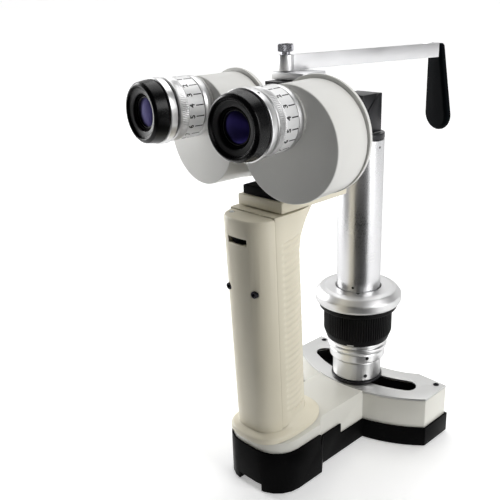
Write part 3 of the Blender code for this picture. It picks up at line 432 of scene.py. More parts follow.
PADDING = surface("padded_cover", (0.0016, 0.0026, 0.0038), 0.60, mottle=0.25, grain=0.6, grain_scale=1500.0,
                  grain_depth=0.00006, rough_spread=0.12, specular=0.03)
BRUSHED = surface("brushed_aluminium", (0.60, 0.60, 0.59), 0.44, 1.0, mottle=0.05, grain=0.5,
                  grain_scale=420.0, grain_depth=0.00001, rough_spread=0.16, stretch=(1.0, 34.0, 8.0),
                  scratches=0.08)
BAR = surface("brushed_bar", (0.76, 0.76, 0.77), 0.42, 1.0, mottle=0.04, grain=0.35, grain_scale=360.0,
              grain_depth=0.00001, rough_spread=0.12, stretch=(30.0, 1.0, 40.0), scratches=0.08, edge=0.60)
SATIN = surface("satin_aluminium", (0.74, 0.74, 0.74), 0.42, 1.0, mottle=0.03, grain=0.30, grain_scale=900.0,
                grain_depth=0.000006, rough_spread=0.08, stretch=AROUND, turned=True, scratches=0.06,
                edge=0.62)
TUBE = surface("drawn_tube", (0.72, 0.72, 0.73), 0.30, 1.0, mottle=0.03, grain=0.30, grain_scale=500.0,
               grain_depth=0.000006, rough_spread=0.10, stretch=(40.0, 1.0, 1.0), turned=True, scratches=0.05,
               edge=0.70)
STEEL = surface("polished_steel", (0.82, 0.82, 0.82), 0.34, 1.0, mottle=0.03, grain=0.18, grain_scale=900.0,
                grain_depth=0.000004, rough_spread=0.06, stretch=AROUND, turned=True, scratches=0.08,
                edge=0.70)
SCALE = surface("scale_white", (0.88, 0.88, 0.88), 0.38, 0.25, mottle=0.02, grain=0.25, grain_scale=900.0,
                grain_depth=0.000006, rough_spread=0.08, stretch=AROUND, turned=True)
INK = surface("black_ink", (0.012, 0.012, 0.012), 0.55, mottle=0.3, grain=0.3, grain_scale=5000.0)
WHITE_INK = surface("white_ink", (0.80, 0.80, 0.78), 0.45, mottle=0.04, grain=0.2, grain_scale=5000.0)
SCREW = surface("dark_screw", (0.022, 0.022, 0.026), 0.34, 1.0, mottle=0.2, grain=0.3, grain_scale=5200.0,
                grain_depth=0.00001, rough_spread=0.12)
KNOB = surface("dark_steel", (0.30, 0.30, 0.32), 0.22, 1.0, mottle=0.1, grain=0.3, grain_scale=2200.0,
               grain_depth=0.00001, rough_spread=0.10, scratches=0.08)
surface("brass", (0.74, 0.55, 0.26), 0.26, 1.0, mottle=0.10, grain=0.3, grain_scale=3000.0,
        grain_depth=0.00001, rough_spread=0.12)
surface("board_green", (0.015, 0.11, 0.05), 0.42, mottle=0.2, grain=0.5, grain_scale=1400.0)
surface("battery_wrap", (0.04, 0.10, 0.30), 0.35, mottle=0.12, grain=0.4, grain_scale=900.0)
surface("led_yellow", (0.85, 0.72, 0.22), 0.45, mottle=0.10, grain=0.4, grain_scale=4000.0)
surface("mirror_silver", (0.92, 0.92, 0.93), 0.03, 1.0, mottle=0.01, grain=0.04, grain_scale=300.0,
        grain_depth=0.000002, rough_spread=0.02)
BAFFLE = surface("matt_black", (0.0025, 0.0025, 0.0025), 0.80, mottle=0.3, grain=0.4, grain_scale=4000.0,
                 specular=0.08)
COATED = surface("coated_glass", (0.020, 0.015, 0.085), 0.30, 1.0, mottle=0.12, mottle_scale=140.0,
                 grain=0.05, grain_scale=900.0, grain_depth=0.000004, rough_spread=0.02)
glass("clear_glass", (0.88, 0.92, 0.94), 0.03, (0.85, 0.92, 1.0), 0.95)
GREEN = glass("green_lens", (0.010, 0.34, 0.075), 0.16, (0.9, 1.0, 0.9), 0.25)


# ---------------- eyepieces and drums

DRUM_WALL = 0.0022
MARK_STEP = 20                 # degrees between two dioptre marks
NUMERALS = "87654321012345678"
NUMERAL_SIZE = 0.0040
UPRIGHT = Matrix(((0, 0, 1), (1, 0, 0), (0, 1, 0))).to_4x4()      # lettering whose top is towards the eye
BAND_LENGTH = 0.0093           # the printed part of the dioptre ring
BAND_DROP = 0.00035            # how far it lies under the knurled part
MARK_SPAN = (0.0005, 0.0051)
MARK_WIDTH = 0.00055
KNURL_COUNT = 110
KNURL_DEPTH = 0.00011
RING_BORE = 0.0121
FOCUS_GAP = 0.0010             # between the dioptre ring and the silver cell, for focusing inwards
CELL_BORE = 0.0080
NOSE_RADIUS = 0.0090
CUP_BORE = 0.0122
CUP_FLARE = 0.0009
LENS_RISE = 0.0012


def eye_axis(word):
    """The frame along one eyepiece, from the drum's face towards the eye."""
    body = points_of("eyepiece_tube_" + word).mean(0)
    cup = points_of("eyecup_" + word).mean(0)
    return axis_frame("eyepiece_tube_" + word, Vector(cup - body))


def build_drum(word, eye):
    """A turning drum: a painted cup with an eased rim and a seat for the eyepiece."""
    node = "drum_" + word
    place = axis_frame(node, eye.col[2].to_3d())
    low, depth, radius = size_of(node, place)
    inside = radius - DRUM_WALL
    piece = Piece("painted_drum_" + word, node)
    rim = [(radius, 0.0, EDGE), (radius, depth, 0.0007), (0.0, depth, 0.0), (0.0, depth - DRUM_WALL, 0.0),
           (inside, depth - DRUM_WALL, EDGE), (inside, 0.0, EDGE / 2)]
    piece.turn(place, rounded(rim, EDGE, 5), DRUM, FINEST)
    seat = [(0.0142, -0.0004), (0.0142, 0.0006), (0.0128, 0.0009), (0.0110, 0.0009), (0.0110, -0.0004)]
    piece.turn(eye, rounded(seat, HAIR, 2), DRUM)
    piece.done()


def build_seat(word, eye):
    """The eyepiece's seat on the drum, and the tube that the dioptre ring turns on."""
    node = "eyepiece_tube_" + word
    low, high, radius = size_of(node, eye)
    shoulder = reach_of("diopter_ring_" + word, eye)[0] - 0.0005
    seat = Piece("eyepiece_seat_" + word, node)
    outline = [(0.0095, high), (0.0116, high), (0.0116, shoulder), (radius - 0.0003, shoulder, 0.0003),
               (radius, shoulder - 0.0018, 0.0012), (radius - 0.0004, low + 0.0022, 0.0016),
               (radius - 0.0024, low, 0.0003), (0.0095, low)]
    seat.turn(eye, rounded(outline, EDGE / 2, 5), SATIN)
    seat.done()


def build_scale(side, word, eye):
    """The dioptre ring: a printed scale and a knurled grip."""
    node = "diopter_ring_" + word
    low, high, radius = size_of(node, eye)
    band_end = low + BAND_LENGTH
    band_radius = radius - BAND_DROP
    ring = Piece("dioptre_scale_" + word, node)
    band = [(RING_BORE, low), (band_radius - 0.0002, low, 0.0002), (band_radius, low + 0.0005, 0.0004),
            (band_radius, band_end, 0.0), (RING_BORE, band_end)]
    ring.turn(eye, rounded(band, HAIR, 3), SCALE)
    knurl_low, knurl_high = band_end + 0.0004, high - 0.0009

    def knurl(out, height, angle):
        worked = knurl_low < height < knurl_high and out > RING_BORE + 0.001
        return out - (KNURL_DEPTH * (1 + math.cos(KNURL_COUNT * angle)) if worked else 0.0)

    grip = [(RING_BORE, band_end), (radius - 0.0002, band_end), (radius, band_end + 0.0002)]
    grip += [(radius, step) for step in np.linspace(knurl_low + 0.00002, knurl_high - 0.00002, 4)]
    grip += [(radius, high - 0.0006), (radius - 0.0004, high), (RING_BORE, high)]
    ring.turn(eye, grip, SATIN, KNURL_COUNT * 4, knurl)

    for index, numeral in enumerate(NUMERALS):
        turn = math.radians(90 + MARK_STEP * (index - 8) * side)

        def round_band(point):
            local = UPRIGHT @ point
            out, angle = band_radius + local.x, local.y / band_radius + turn
            return eye @ Vector((out * math.cos(angle), out * math.sin(angle), low + 0.0072 + local.z))

        ring.lettering(numeral, NUMERAL_SIZE, INK, round_band)
        patch(ring, eye, band_radius, math.degrees(turn), math.degrees(MARK_WIDTH / 2 / band_radius),
              low + MARK_SPAN[0], low + MARK_SPAN[1], INK, 1)
    ring.done()


def build_cell(side, word, eye):
    """The silver cell that holds the eye lens, with the black nose inside the eyecup."""
    node = "ocular_cell_" + word
    low, high, radius = size_of(node, eye)
    collar = reach_of("diopter_ring_" + word, eye)[1] + FOCUS_GAP
    brim = reach_of("eyecup_" + word, eye)[0] - 0.0003
    cell = Piece("ocular_cell_ring_" + word, node)
    outline = [(CELL_BORE, low), (0.0091, low), (0.0091, collar), (radius - 0.0011, collar, 0.0002),
               (radius - 0.0009, collar + 0.0003, 0.0002), (radius, collar + 0.0004, 0.0004),
               (radius, brim - 0.0002, 0.0004), (radius - 0.0008, brim, 0.0003), (CELL_BORE, brim)]
    cell.turn(eye, rounded(outline, HAIR, 4), STEEL)
    sunk = radius - 0.0012
    groove = [(CUP_BORE, collar - 0.0002), (sunk, collar - 0.0002), (sunk, collar + 0.0004),
              (CUP_BORE, collar + 0.0004)]
    cell.turn(eye, groove, BAFFLE)
    nose = [(CELL_BORE, brim), (NOSE_RADIUS, brim), (NOSE_RADIUS, high, 0.0002), (CELL_BORE, high, 0.0002)]
    cell.turn(eye, rounded(nose, 0.0, 3), BAFFLE)
    dot(cell, eye, radius, 90 - side * 28, (collar + brim) / 2 + 0.0002, 0.00055, INK)
    cell.done()


def build_eyecup(word, eye):
    """The eyecup with its slate face, and the coated lens in its retaining ring."""
    node = "eyecup_" + word
    low, high, radius = size_of(node, eye)
    cup = Piece("eyecup_shell_" + word, node)
    floor = high - 0.0012
    flared = radius + CUP_FLARE
    outline = [(CUP_BORE, low), (flared - HAIR, low, 0.0002), (flared, low + 0.0006, 0.0003),
               (radius, high - 0.0012, 0.0012), (radius - 0.0012, high, 0.0008), (0.0129, high, 0.0005),
               (0.0125, floor, 0.0004), (CUP_BORE, floor)]
    cup.turn(eye, rounded(outline, HAIR, 5), GLOSS)
    face = [(0.0093, low + 0.0004), (0.0121, low + 0.0004), (0.0121, floor), (0.0120, floor - 0.0001),
            (0.0116, floor - 0.0002), (0.0115, floor - 0.0001), (0.0097, floor - 0.0004, 0.0002),
            (0.0093, floor - 0.0008)]
    cup.turn(eye, rounded(face, 0.0, 3), SLATE)
    cup.done()

    node = "eye_lens_" + word
    low, high, radius = size_of(node, eye)
    lens = Piece("coated_eye_lens_" + word, node)
    outline = [(0.0, low), (radius * 0.5, low + 0.0002), (radius, low + 0.0006)]
    lens.turn(eye, outline + dome(radius, high, LENS_RISE), COATED, 64)
    retainer = [(radius * 0.93, high - 0.0008), (radius, high - 0.0009), (radius, high - 0.0002),
                (radius * 0.96, high - 0.0002)]
    lens.turn(eye, retainer, SLATE, 64)
    lens.done()


def dot(piece, place, radius, turn, height, size, ink):
    """A round printed or drilled mark on a turned piece, its turn in degrees."""
    angle = math.radians(turn)
    out = Vector((math.cos(angle), math.sin(angle), 0.0))
    across = Vector((-math.sin(angle), math.cos(angle), 0.0))
    basis = Matrix((across, UP, out)).transposed().to_4x4()
    basis.translation = out * (radius - 0.00004) + UP * height
    disc = [(size, 0.0), (size, 0.00009), (0.0, 0.00012), (0.0, 0.0)]
    piece.turn(place @ basis, disc, ink, 20)


def patch(piece, place, radius, turn, half_turn, low, high, ink, columns=8, top_radius=None):
    """A thin printed or inlaid patch that follows a turned surface, turns in degrees."""
    angles = [math.radians(turn + half_turn * (2 * index / columns - 1)) for index in range(columns + 1)]
    top_radius = top_radius or radius
    rows = []
    for out, height in ((radius - PRINT, low), (radius + PRINT, low), (top_radius + PRINT, high),
                        (top_radius - PRINT, high)):
        points = [Vector((out * math.cos(angle), out * math.sin(angle), height)) for angle in angles]
        rows.append([piece.shape.verts.new(place @ point) for point in points])
    for index, row in enumerate(rows):
        after = rows[(index + 1) % 4]
        for step in range(columns):
            piece.face((row[step], row[step + 1], after[step + 1], after[step]), ink, True)
    for end in (0, columns):
        piece.face([row[end] for row in rows], ink, True)


for side, word in SIDES:
    eye = eye_axis(word)
    build_drum(word, eye)
    build_seat(word, eye)
    build_scale(side, word, eye)
    build_cell(side, word, eye)
    build_eyecup(word, eye)


# ---------------- plain turned pieces

def build_ring(name, node, edge=EDGE):
    """A black ring with eased edges, from a turned node's own size."""
    place = axis_frame(node, UP)
    low, high = reach_of(node, place)
    inner, outer = radii_of(node, place)
    piece = Piece(name, node)
    outline = [(inner, low), (outer, low, edge), (outer, high, edge), (inner, high, edge / 2)]
    piece.turn(place, rounded(outline, HAIR, 4), ANODISED)
    piece.done()


def build_screw(name, node, direction):
    """A socket screw: bevelled rim and a hexagon pit."""
    place = axis_frame(node, direction)
    low, high, radius = size_of(node, place)
    pit = radius * 0.55
    flat_radius = pit * 0.93

    def hexagon(out, height, angle):
        if out > pit:
            return out
        turn = (angle % (math.pi / 3)) - math.pi / 6
        return out / pit * flat_radius / math.cos(turn)

    piece = Piece(name, node)
    outline = [(0.0, low), (radius, low, HAIR), (radius, high, radius * 0.14), (pit * 1.12, high, 0.00004),
               (pit, high - 0.0001), (pit, high - radius * 0.6), (0.0, high - radius * 0.6)]
    piece.turn(place, rounded(outline, 0.0, 4), SCREW, 36, hexagon)
    piece.done()


# ---------------- illumination column

FACING = -52.5                 # the side of the column that carries the index marks, in degrees
SIDE_TURN = -31                # where the grub screws are, in degrees
FLUTES = 84
FLUTE_DEPTH = 0.00022
TUBE_BORE = 0.0124
STEM_BORE = 0.0110             # of the collars under the slit ring
COLUMN = axis_frame("column_tube", UP)
COLUMN.translation.z = 0.0


def build_tube():
    """The drawn tube, with its index marks and the outline of a label."""
    low, high, radius = size_of("column_tube", COLUMN)
    piece = Piece("illumination_tube", "column_tube")
    outline = [(TUBE_BORE, low), (radius, low, 0.0003), (radius, high, 0.0004), (TUBE_BORE, high, 0.0003)]
    piece.turn(COLUMN, rounded(outline, 0.0, 4), TUBE, FINEST)
    flange_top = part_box("selector_flange")[1].z
    dot(piece, COLUMN, radius, FACING - 14, flange_top + 0.0026, 0.0008, INK)
    dot(piece, COLUMN, radius, FACING + 52, high - 0.0040, 0.0007, INK)
    label_low, label_turn = flange_top + 0.0195, FACING + 32
    label_high, label_half, line = label_low + 0.0046, 14, 0.00022
    for height in (label_low, label_high):
        patch(piece, COLUMN, radius, label_turn, label_half, height, height + line, WHITE_INK)
    for turn in (label_turn - 13.4, label_turn + 13.4):
        patch(piece, COLUMN, radius, turn, 0.5, label_low, label_high, WHITE_INK, 1)
    patch(piece, COLUMN, radius, label_turn + 4, 6, label_low + 0.0022, label_low + 0.0026, WHITE_INK)
    piece.done(angle=25)


def build_selector():
    """The broad flange that turns the apertures and filters, with its index triangle."""
    low, high, radius = size_of("selector_flange", COLUMN)
    bore = radius_of("column_tube", COLUMN) + 0.0005
    piece = Piece("selector_knob", "selector_flange")
    outline = [(bore - 0.0001, low), (radius - 0.0008, low, 0.0004), (radius, low + 0.0014, 0.0008),
               (radius, high - 0.0044, 0.0022), (radius - 0.0030, high - 0.0009, 0.0030),
               (radius - 0.0062, high, 0.0026), (bore + 0.0004, high, 0.0003), (bore, high - 0.0006)]
    piece.turn(COLUMN, rounded(outline, HAIR, 6), SATIN, FINEST)
    triangle = [(-0.0015, bore + 0.0008), (0.0015, bore + 0.0008), (0.0, bore + 0.0030)]
    turned = COLUMN @ Matrix.Rotation(math.radians(FACING - 90), 4, "Z")
    piece.prism(turned, triangle, high - 0.0001, high + PRINT, INK)
    piece.done()


def build_slit_grip():
    """The fluted ring that sets the slit's width, flared from a narrow foot."""
    low, high, rim = size_of("slit_width_ring", COLUMN)
    grip = rim - 0.0030
    foot = radius_of("index_ring", COLUMN) + 0.0005
    bore = foot - 0.0014
    piece = Piece("slit_width_grip", "slit_width_ring")
    flute_low, flute_high = low + 0.0046, high - 0.0047

    def flutes(radius, height, angle):
        worked = flute_low <= height <= flute_high and radius > bore + 0.002
        return radius - (FLUTE_DEPTH * (1 + math.cos(FLUTES * angle)) ** 2 / 2 if worked else 0.0)

    flare = [(bore, low), (foot, low), (foot + 0.0003, low + 0.0004), (grip - 0.0008, low + 0.0034),
             (grip - 0.0004, flute_low - 0.0001), (grip - 0.0003, flute_low), (grip, flute_low + 0.0012),
             (grip, flute_high - 0.0006), (grip - 0.0002, flute_high), (grip - 0.0002, flute_high + 0.0001)]
    flare += arc_points((rim - 0.0012, high - 0.0026), 0.0012, -50, 0, 4)
    flare += arc_points((rim - 0.0010, high - 0.0010), 0.0010, 0, 90, 4)
    flare += [(bore, high)]
    piece.turn(COLUMN, flare, RUBBER, FLUTES * 6, flutes)
    patch(piece, COLUMN, foot + 0.00035, FACING - 12, 6.0, low + 0.0005, low + 0.0014, WHITE_INK,
          top_radius=foot + 0.0010)
    piece.done(angle=50)


def build_collars():
    """The bright collars and the base cup under the slit ring."""
    low, high, radius = size_of("index_ring", COLUMN)
    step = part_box("slit_width_ring")[0].z - 0.0003
    sleeve, sleeve_bore, waist = radius - 0.0014, 0.0139, radius - 0.0010
    piece = Piece("index_collar", "index_ring")
    outline = [(STEM_BORE, low), (radius - 0.0006, low, 0.0003), (radius, low + 0.0008, 0.0005),
               (radius, low + 0.0026, 0.0004), (waist, low + 0.0032, 0.0003), (waist, step - 0.0012, 0.0003),
               (radius - 0.0002, step - 0.0006, 0.0002), (radius - 0.0004, step, 0.0002), (sleeve, step),
               (sleeve, high), (sleeve_bore, high), (sleeve_bore, step), (STEM_BORE, step)]
    piece.turn(COLUMN, rounded(outline, HAIR, 4), STEEL, FINEST)
    piece.done()

    low, high, radius = size_of("slit_collar", COLUMN)
    piece = Piece("slit_collar_ring", "slit_collar")
    outline = [(STEM_BORE, low), (radius - 0.0008, low, 0.0004), (radius, low + 0.0010, 0.0006),
               (radius, high - 0.0012, 0.0006), (radius - 0.0009, high - 0.0002, 0.0004), (STEM_BORE, high)]
    piece.turn(COLUMN, rounded(outline, HAIR, 5), STEEL, FINEST)
    grub_screw(piece, radius, (low + high) / 2 + 0.0006, 0.0011, 0.0006)
    piece.done()

    low, high, radius = size_of("column_lower_body", COLUMN)
    floor = low + 0.0025
    piece = Piece("column_base_cup", "column_lower_body")
    outline = [(0.0, low), (radius - 0.0003, low, 0.0002), (radius, low + 0.0007, 0.0004),
               (radius, high - 0.0010, 0.0006), (radius - 0.0006, high, 0.0003), (STEM_BORE, high),
               (STEM_BORE, floor), (0.0, floor)]
    piece.turn(COLUMN, rounded(outline, 0.0, 5), SATIN, FINEST)
    grub_screw(piece, radius, low + 0.0036, 0.0012, 0.0007)
    piece.done()


def grub_screw(piece, radius, height, size, socket):
    """A grub screw's end, and its socket as a flat black disc of painted shade."""
    dot(piece, COLUMN, radius, SIDE_TURN, height, size, SCREW)
    # painted shade: a black ink disc stands for the shadowed hole of the socket
    dot(piece, COLUMN, radius + 0.00008, SIDE_TURN, height, socket, INK)


build_tube()
build_selector()
build_slit_grip()
build_collars()
build_ring("column_foot", "column_foot_ring")
build_ring("tube_end_cap", "tube_cap", 0.0006)
for side, word in SIDES:
    build_screw("track_screw_" + word, "arc_plate_screw_" + word, UP)
    build_screw("grip_screw_" + word, "cover_screw_" + word, Vector((0.0, -1.0, 0.0)))


# ---------------- milled and moulded pieces that keep their CAD form

EASED = (
    ("mirror_tower", "prism_housing", ANODISED, "black_anodised", 0.00035, 2, 25),
    ("charging_tray", "cradle_tray", TRAY, "black_plastic", 0.00035, 3, 30),
    ("power_inlet", "inlet_socket", TRAY, "black_plastic", 0.00020, 3, 30),
    ("grip_mat", "anti_slip_mat", RUBBER, "black_rubber", 0.00040, 3, 30),
    ("stand_housing", "base_housing", IVORY, "ivory_paint", 0.00045, 3, 30),
    ("arc_track_plate", "arc_plate", BRUSHED, "brushed_aluminium", 0.00030, 3, 30),
    ("head_slab_cover", "head_slab", CREAM, "cream_plastic", 0.00030, 3, 30),
    ("mount_block", "mounting_plate", BAFFLE, "black_anodised", 0.00020, 3, 30),
    ("head_top_plate", "top_plate", ANODISED, "black_anodised", 0.00030, 3, 30),
    ("rest_bracket_block", "rest_bracket", BAR, "satin_aluminium", 0.00025, 3, 30),
    ("handle_back", "handle_rear_cover", CREAM, "cream_plastic", 0.00030, 3, 30),
    ("satin_bar", "forehead_bar", BAR, "satin_aluminium", 0.00025, 2, 40),
)

for name, node, material, slot, width, segments, angle in EASED:
    piece = Piece(name, node)
    piece.eased(width, material, segments, angle)
    piece.done()


# ---------------- handle

RIB_COUNT = 27
RIB_PITCH = 0.0038
RIB_DEPTH = 0.00075
RIB_SLANT = 0.16               # rise of a rib per metre towards the patient
RIB_LOW = 0.0480
RIB_STEPS = 9                  # sections for each rib
REAR_POWER, FRONT_POWER = 2.9, 2.4        # how square the two halves of the handle's outline are
SEAM_TO_MIDDLE = 0.0090
SHELL_DEPTH = SEAM_TO_MIDDLE * 1.9        # how far the front shell's rear half would reach, uncut
# Of the foot's sections: height, growth at the sides, growth at the front.
FLANGE_STEPS = (
    (0.0338, 0.0040, 0.0125), (0.0358, 0.0040, 0.0125), (0.0364, 0.0038, 0.0122), (0.0367, 0.0033, 0.0117),
    (0.0370, 0.0030, 0.0113), (0.0377, 0.0026, 0.0106), (0.0388, 0.0021, 0.0094), (0.0398, 0.0015, 0.0074),
    (0.0409, 0.0009, 0.0048), (0.0422, 0.0004, 0.0026), (0.0440, 0.0000, 0.0010),
)
FLANGE_LEVEL = 4               # the last of them that stays level; those above it dip at the rear


def cut_points(node, height):
    """Where the node's edges cross a height, as (x, y)."""
    found = []
    mesh = NODES[node].data
    for edge in mesh.edges:
        first, second = (mesh.vertices[index].co for index in edge.vertices)
        if (first.z - height) * (second.z - height) < 0.0:
            point = first.lerp(second, (height - first.z) / (second.z - first.z))
            found.append((point.x, point.y))
    return np.array(found)


def grip_measures(height):
    """Half-width, seam and front of the handle at a height."""
    shell = cut_points("handle_front_shell", height)
    return float(np.abs(shell[:, 0]).max()), float(shell[:, 1].min()), float(shell[:, 1].max())


def eased_share(value):
    """A smooth step from 0 to 1."""
    share = min(max(value, 0.0), 1.0)
    return share * share * (3 - 2 * share)


def oval_point(angle, half, rear, front):
    """A point on a squarish oval, from its half-width and its depths either side of the middle."""
    across, along = math.cos(angle), math.sin(angle)
    power = 2 / (FRONT_POWER if along > 0 else REAR_POWER)
    x = math.copysign(half * abs(across) ** power, across)
    y = math.copysign((front if along > 0 else rear) * abs(along) ** power, along)
    return x, y


def build_grip():
    """The ribbed front shell of the handle."""
    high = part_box("handle_front_shell")[1].z
    cover_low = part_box("handle_rear_cover")[0].z
    measured = np.linspace(cover_low + 0.001, high - 0.0003, 40)
    table = np.array([grip_measures(height) for height in measured])
    heights = [cover_low + 0.0002, RIB_LOW - 0.002]
    heights += list(np.arange(RIB_LOW, RIB_LOW + RIB_COUNT * RIB_PITCH, RIB_PITCH / RIB_STEPS))
    heights += list(np.linspace(heights[-1] + 0.0005, high, 26))
    sections = []
    for height in heights:
        half, seam, front = (float(np.interp(height, measured, table[:, index])) for index in range(3))
        middle = seam + SEAM_TO_MIDDLE
        right = []
        for angle in np.linspace(-math.pi / 2, math.pi / 2, 89):
            x, y = oval_point(angle, half, SHELL_DEPTH, front - middle)
            x, y = abs(x), max(middle + y, seam)
            share = min(max((y - seam - 0.0035) / 0.0022, 0.0), 1.0) * \
                min(max((front - 0.0030 - y) / 0.0050, 0.0), 1.0)
            phase = (height - RIB_LOW - RIB_SLANT * (y - middle)) / RIB_PITCH
            if 0.0 < phase < RIB_COUNT and x > half * 0.45:
                wave = 0.5 - 0.5 * math.cos(2 * math.pi * phase)
                x -= RIB_DEPTH * eased_share(share) * (1.0 - wave ** 0.6)
            right.append((x, y))
        outline = spaced(right + [(-x, y) for x, y in reversed(right)])
        sections.append([Vector((x, y, height)) for x, y in outline])
    piece = Piece("ribbed_grip", "handle_front_shell")
    piece.loft(sections, CREAM)
    piece.done(angle=40)


def spaced(points):
    """Moves repeated points a hair apart, so that every section keeps the same count."""
    moved = []
    for x, y in points:
        if moved and abs(x - moved[-1][0]) < 1e-7 and abs(y - moved[-1][1]) < 1e-7:
            x += 1e-6
        moved.append((x, y))
    return moved


def build_flange():
    """The foot of the handle: a stepped flange that sweeps up to the grip at the front."""
    rear_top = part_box("handle_rear_cover")[0].z - 0.0002
    half, seam, front = grip_measures(rear_top + 0.003)
    rear = float(cut_points("handle_rear_cover", rear_top + 0.003)[:, 1].min())
    middle = seam + SEAM_TO_MIDDLE
    level, summit = FLANGE_STEPS[FLANGE_LEVEL][0], FLANGE_STEPS[-1][0]
    sections = []
    for height, side_growth, front_growth in FLANGE_STEPS:
        section = []
        for index in range(120):
            x, y = oval_point(math.pi * index / 60, half + side_growth, middle - rear + side_growth,
                              front - middle + front_growth)
            y += middle
            top = rear_top + (summit - rear_top) * eased_share((y - seam) / 0.012)
            lift = max(height - level, 0.0) * ((top - level) / (summit - level) - 1.0)
            section.append(Vector((x, y, height + lift)))
        sections.append(section)
    piece = Piece("handle_flange", "handle_foot_collar")
    piece.loft(sections, CREAM)
    piece.done(angle=50)


def build_wheel():
    """The brightness wheel, knurled at its rim."""
    place = axis_frame("brightness_wheel", UP)
    low, high, radius = size_of("brightness_wheel", place)
    wheel = Piece("knurled_wheel", "brightness_wheel")
    outline = [(0.0, low), (radius - 0.0003, low), (radius, low + 0.0003), (radius, high - 0.0003),
               (radius - 0.0003, high), (0.0, high)]
    wheel.turn(place, outline, TRAY, 240, lambda out, height, angle:
               out - (0.0002 * (1 + math.cos(48 * angle)) if out > radius - 0.0002 else 0.0))
    wheel.done()


def build_light():
    place = axis_frame("status_light", UP)
    low, high, radius = size_of("status_light", place)
    light = Piece("status_lens", "status_light")
    light.turn(place, [(0.0, low), (radius, low)] + dome(radius, high, 0.0007), GREEN, 40)
    light.done()


build_grip()
build_flange()
build_wheel()
build_light()


# ---------------- microscope head

LOBE_LIFT = 0.0008             # the round ends sit a little above the drums
LOBE_GROWTH = 0.0012           # and reach a little past them
LOBE_NEAR, LOBE_FAR = -0.0003, -0.0029
BARREL_RADIUS = 0.0130
BARREL_END = -0.0220
BARREL_BORE = BARREL_RADIUS - 0.0020
BLOCK_HALF, BLOCK_BACK, BLOCK_FRONT = 0.0150, -0.0640, -0.0420
WEB_HALF, WEB_BACK, WEB_FRONT, WEB_LOW = 0.0105, -0.0735, -0.0610, 0.1840


def build_body():
    """The fixed body: two round ends behind the drums, the block between them and the objective barrels."""
    piece = Piece("microscope_casting", "microscope_body")
    for side, word in SIDES:
        back = axis_frame("drum_" + word, eye_axis(word).col[2].to_3d())
        lobe_radius = radius_of("drum_" + word, back) + LOBE_GROWTH
        lobe = [(0.0, LOBE_NEAR), (lobe_radius, LOBE_NEAR, 0.0003), (lobe_radius, LOBE_FAR, 0.0012),
                (0.0, LOBE_FAR)]
        piece.turn(Matrix.Translation(UP * LOBE_LIFT) @ back, rounded(lobe, 0.0, 5), DRUM, FINEST)
        seat = reach_of("objective_lens_" + word, back)[1] + 0.0004
        barrel = [(0.0, LOBE_FAR + 0.0004), (BARREL_RADIUS + 0.0030, LOBE_FAR + 0.0004),
                  (BARREL_RADIUS, LOBE_FAR - 0.0016, 0.0016), (BARREL_RADIUS, BARREL_END, 0.0007),
                  (BARREL_BORE, BARREL_END, 0.0004), (BARREL_BORE, seat), (0.0, seat)]
        piece.turn(back, rounded(barrel, 0.0, 4), DRUM)
        lining = [(BARREL_BORE + 0.0001, BARREL_END + 0.0002), (BARREL_BORE + 0.0001, seat - 0.0001),
                  (BARREL_BORE - 0.0003, seat - 0.0001), (BARREL_BORE - 0.0003, BARREL_END + 0.0004)]
        piece.turn(back, lining, BAFFLE)
    low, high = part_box("microscope_body")[0].z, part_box("top_plate")[0].z - 0.0003
    block = rounded(rectangle(BLOCK_HALF, BLOCK_BACK, BLOCK_FRONT), 0.0020, 5)
    piece.prism(Matrix.Identity(4), block, low, high, DRUM, bevel=0.0006)
    web = rectangle(WEB_HALF, WEB_BACK, WEB_FRONT)
    piece.prism(Matrix.Identity(4), web, WEB_LOW, high - 0.0002, DRUM, bevel=0.0004)
    piece.done()


def rectangle(half, back, front):
    return [(-half, back), (half, back), (half, front), (-half, front)]


def build_objective(word):
    node = "objective_lens_" + word
    place = axis_frame(node, -eye_axis(word).col[2].to_3d())
    low, high, radius = size_of(node, place)
    lens = Piece("objective_glass_" + word, node)
    lens.turn(place, [(0.0, low), (radius, low + 0.0006)] + dome(radius, high, LENS_RISE), COATED, 72)
    lens.done()


build_body()
for side, word in SIDES:
    build_objective(word)


# ---------------- forehead rest

def build_clamp():
    """The knurled screw that clamps the forehead bar."""
    place = axis_frame("clamp_screw", UP)
    low, high, radius = size_of("clamp_screw", place)
    hub_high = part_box("forehead_bar")[1].z - place.translation.z
    head_low = hub_high + 0.0016
    piece = Piece("knurled_clamp_screw", "clamp_screw")
    outline = [(0.0, low), (0.0018, low), (0.0018, hub_high + 0.0003), (0.0024, hub_high + 0.0003),
               (0.0024, head_low), (radius - 0.0005, head_low), (radius, head_low + 0.0004),
               (radius, high - 0.0005), (radius - 0.0005, high), (radius * 0.55, high),
               (radius * 0.5, high - 0.0002), (0.0, high - 0.0002)]
    piece.turn(place, outline, KNOB, 240, lambda out, height, angle:
               out - (KNURL_DEPTH * (1 + math.cos(40 * angle)) if out > radius - 0.0001 else 0.0))
    piece.done()


PAD_TOP_SHARE = 0.56           # the pad's width at its top, as a share of its width at the foot
PAD_CROWN = 0.0024             # how far its faces draw in from the middle
PAD_CORNER = 0.0012


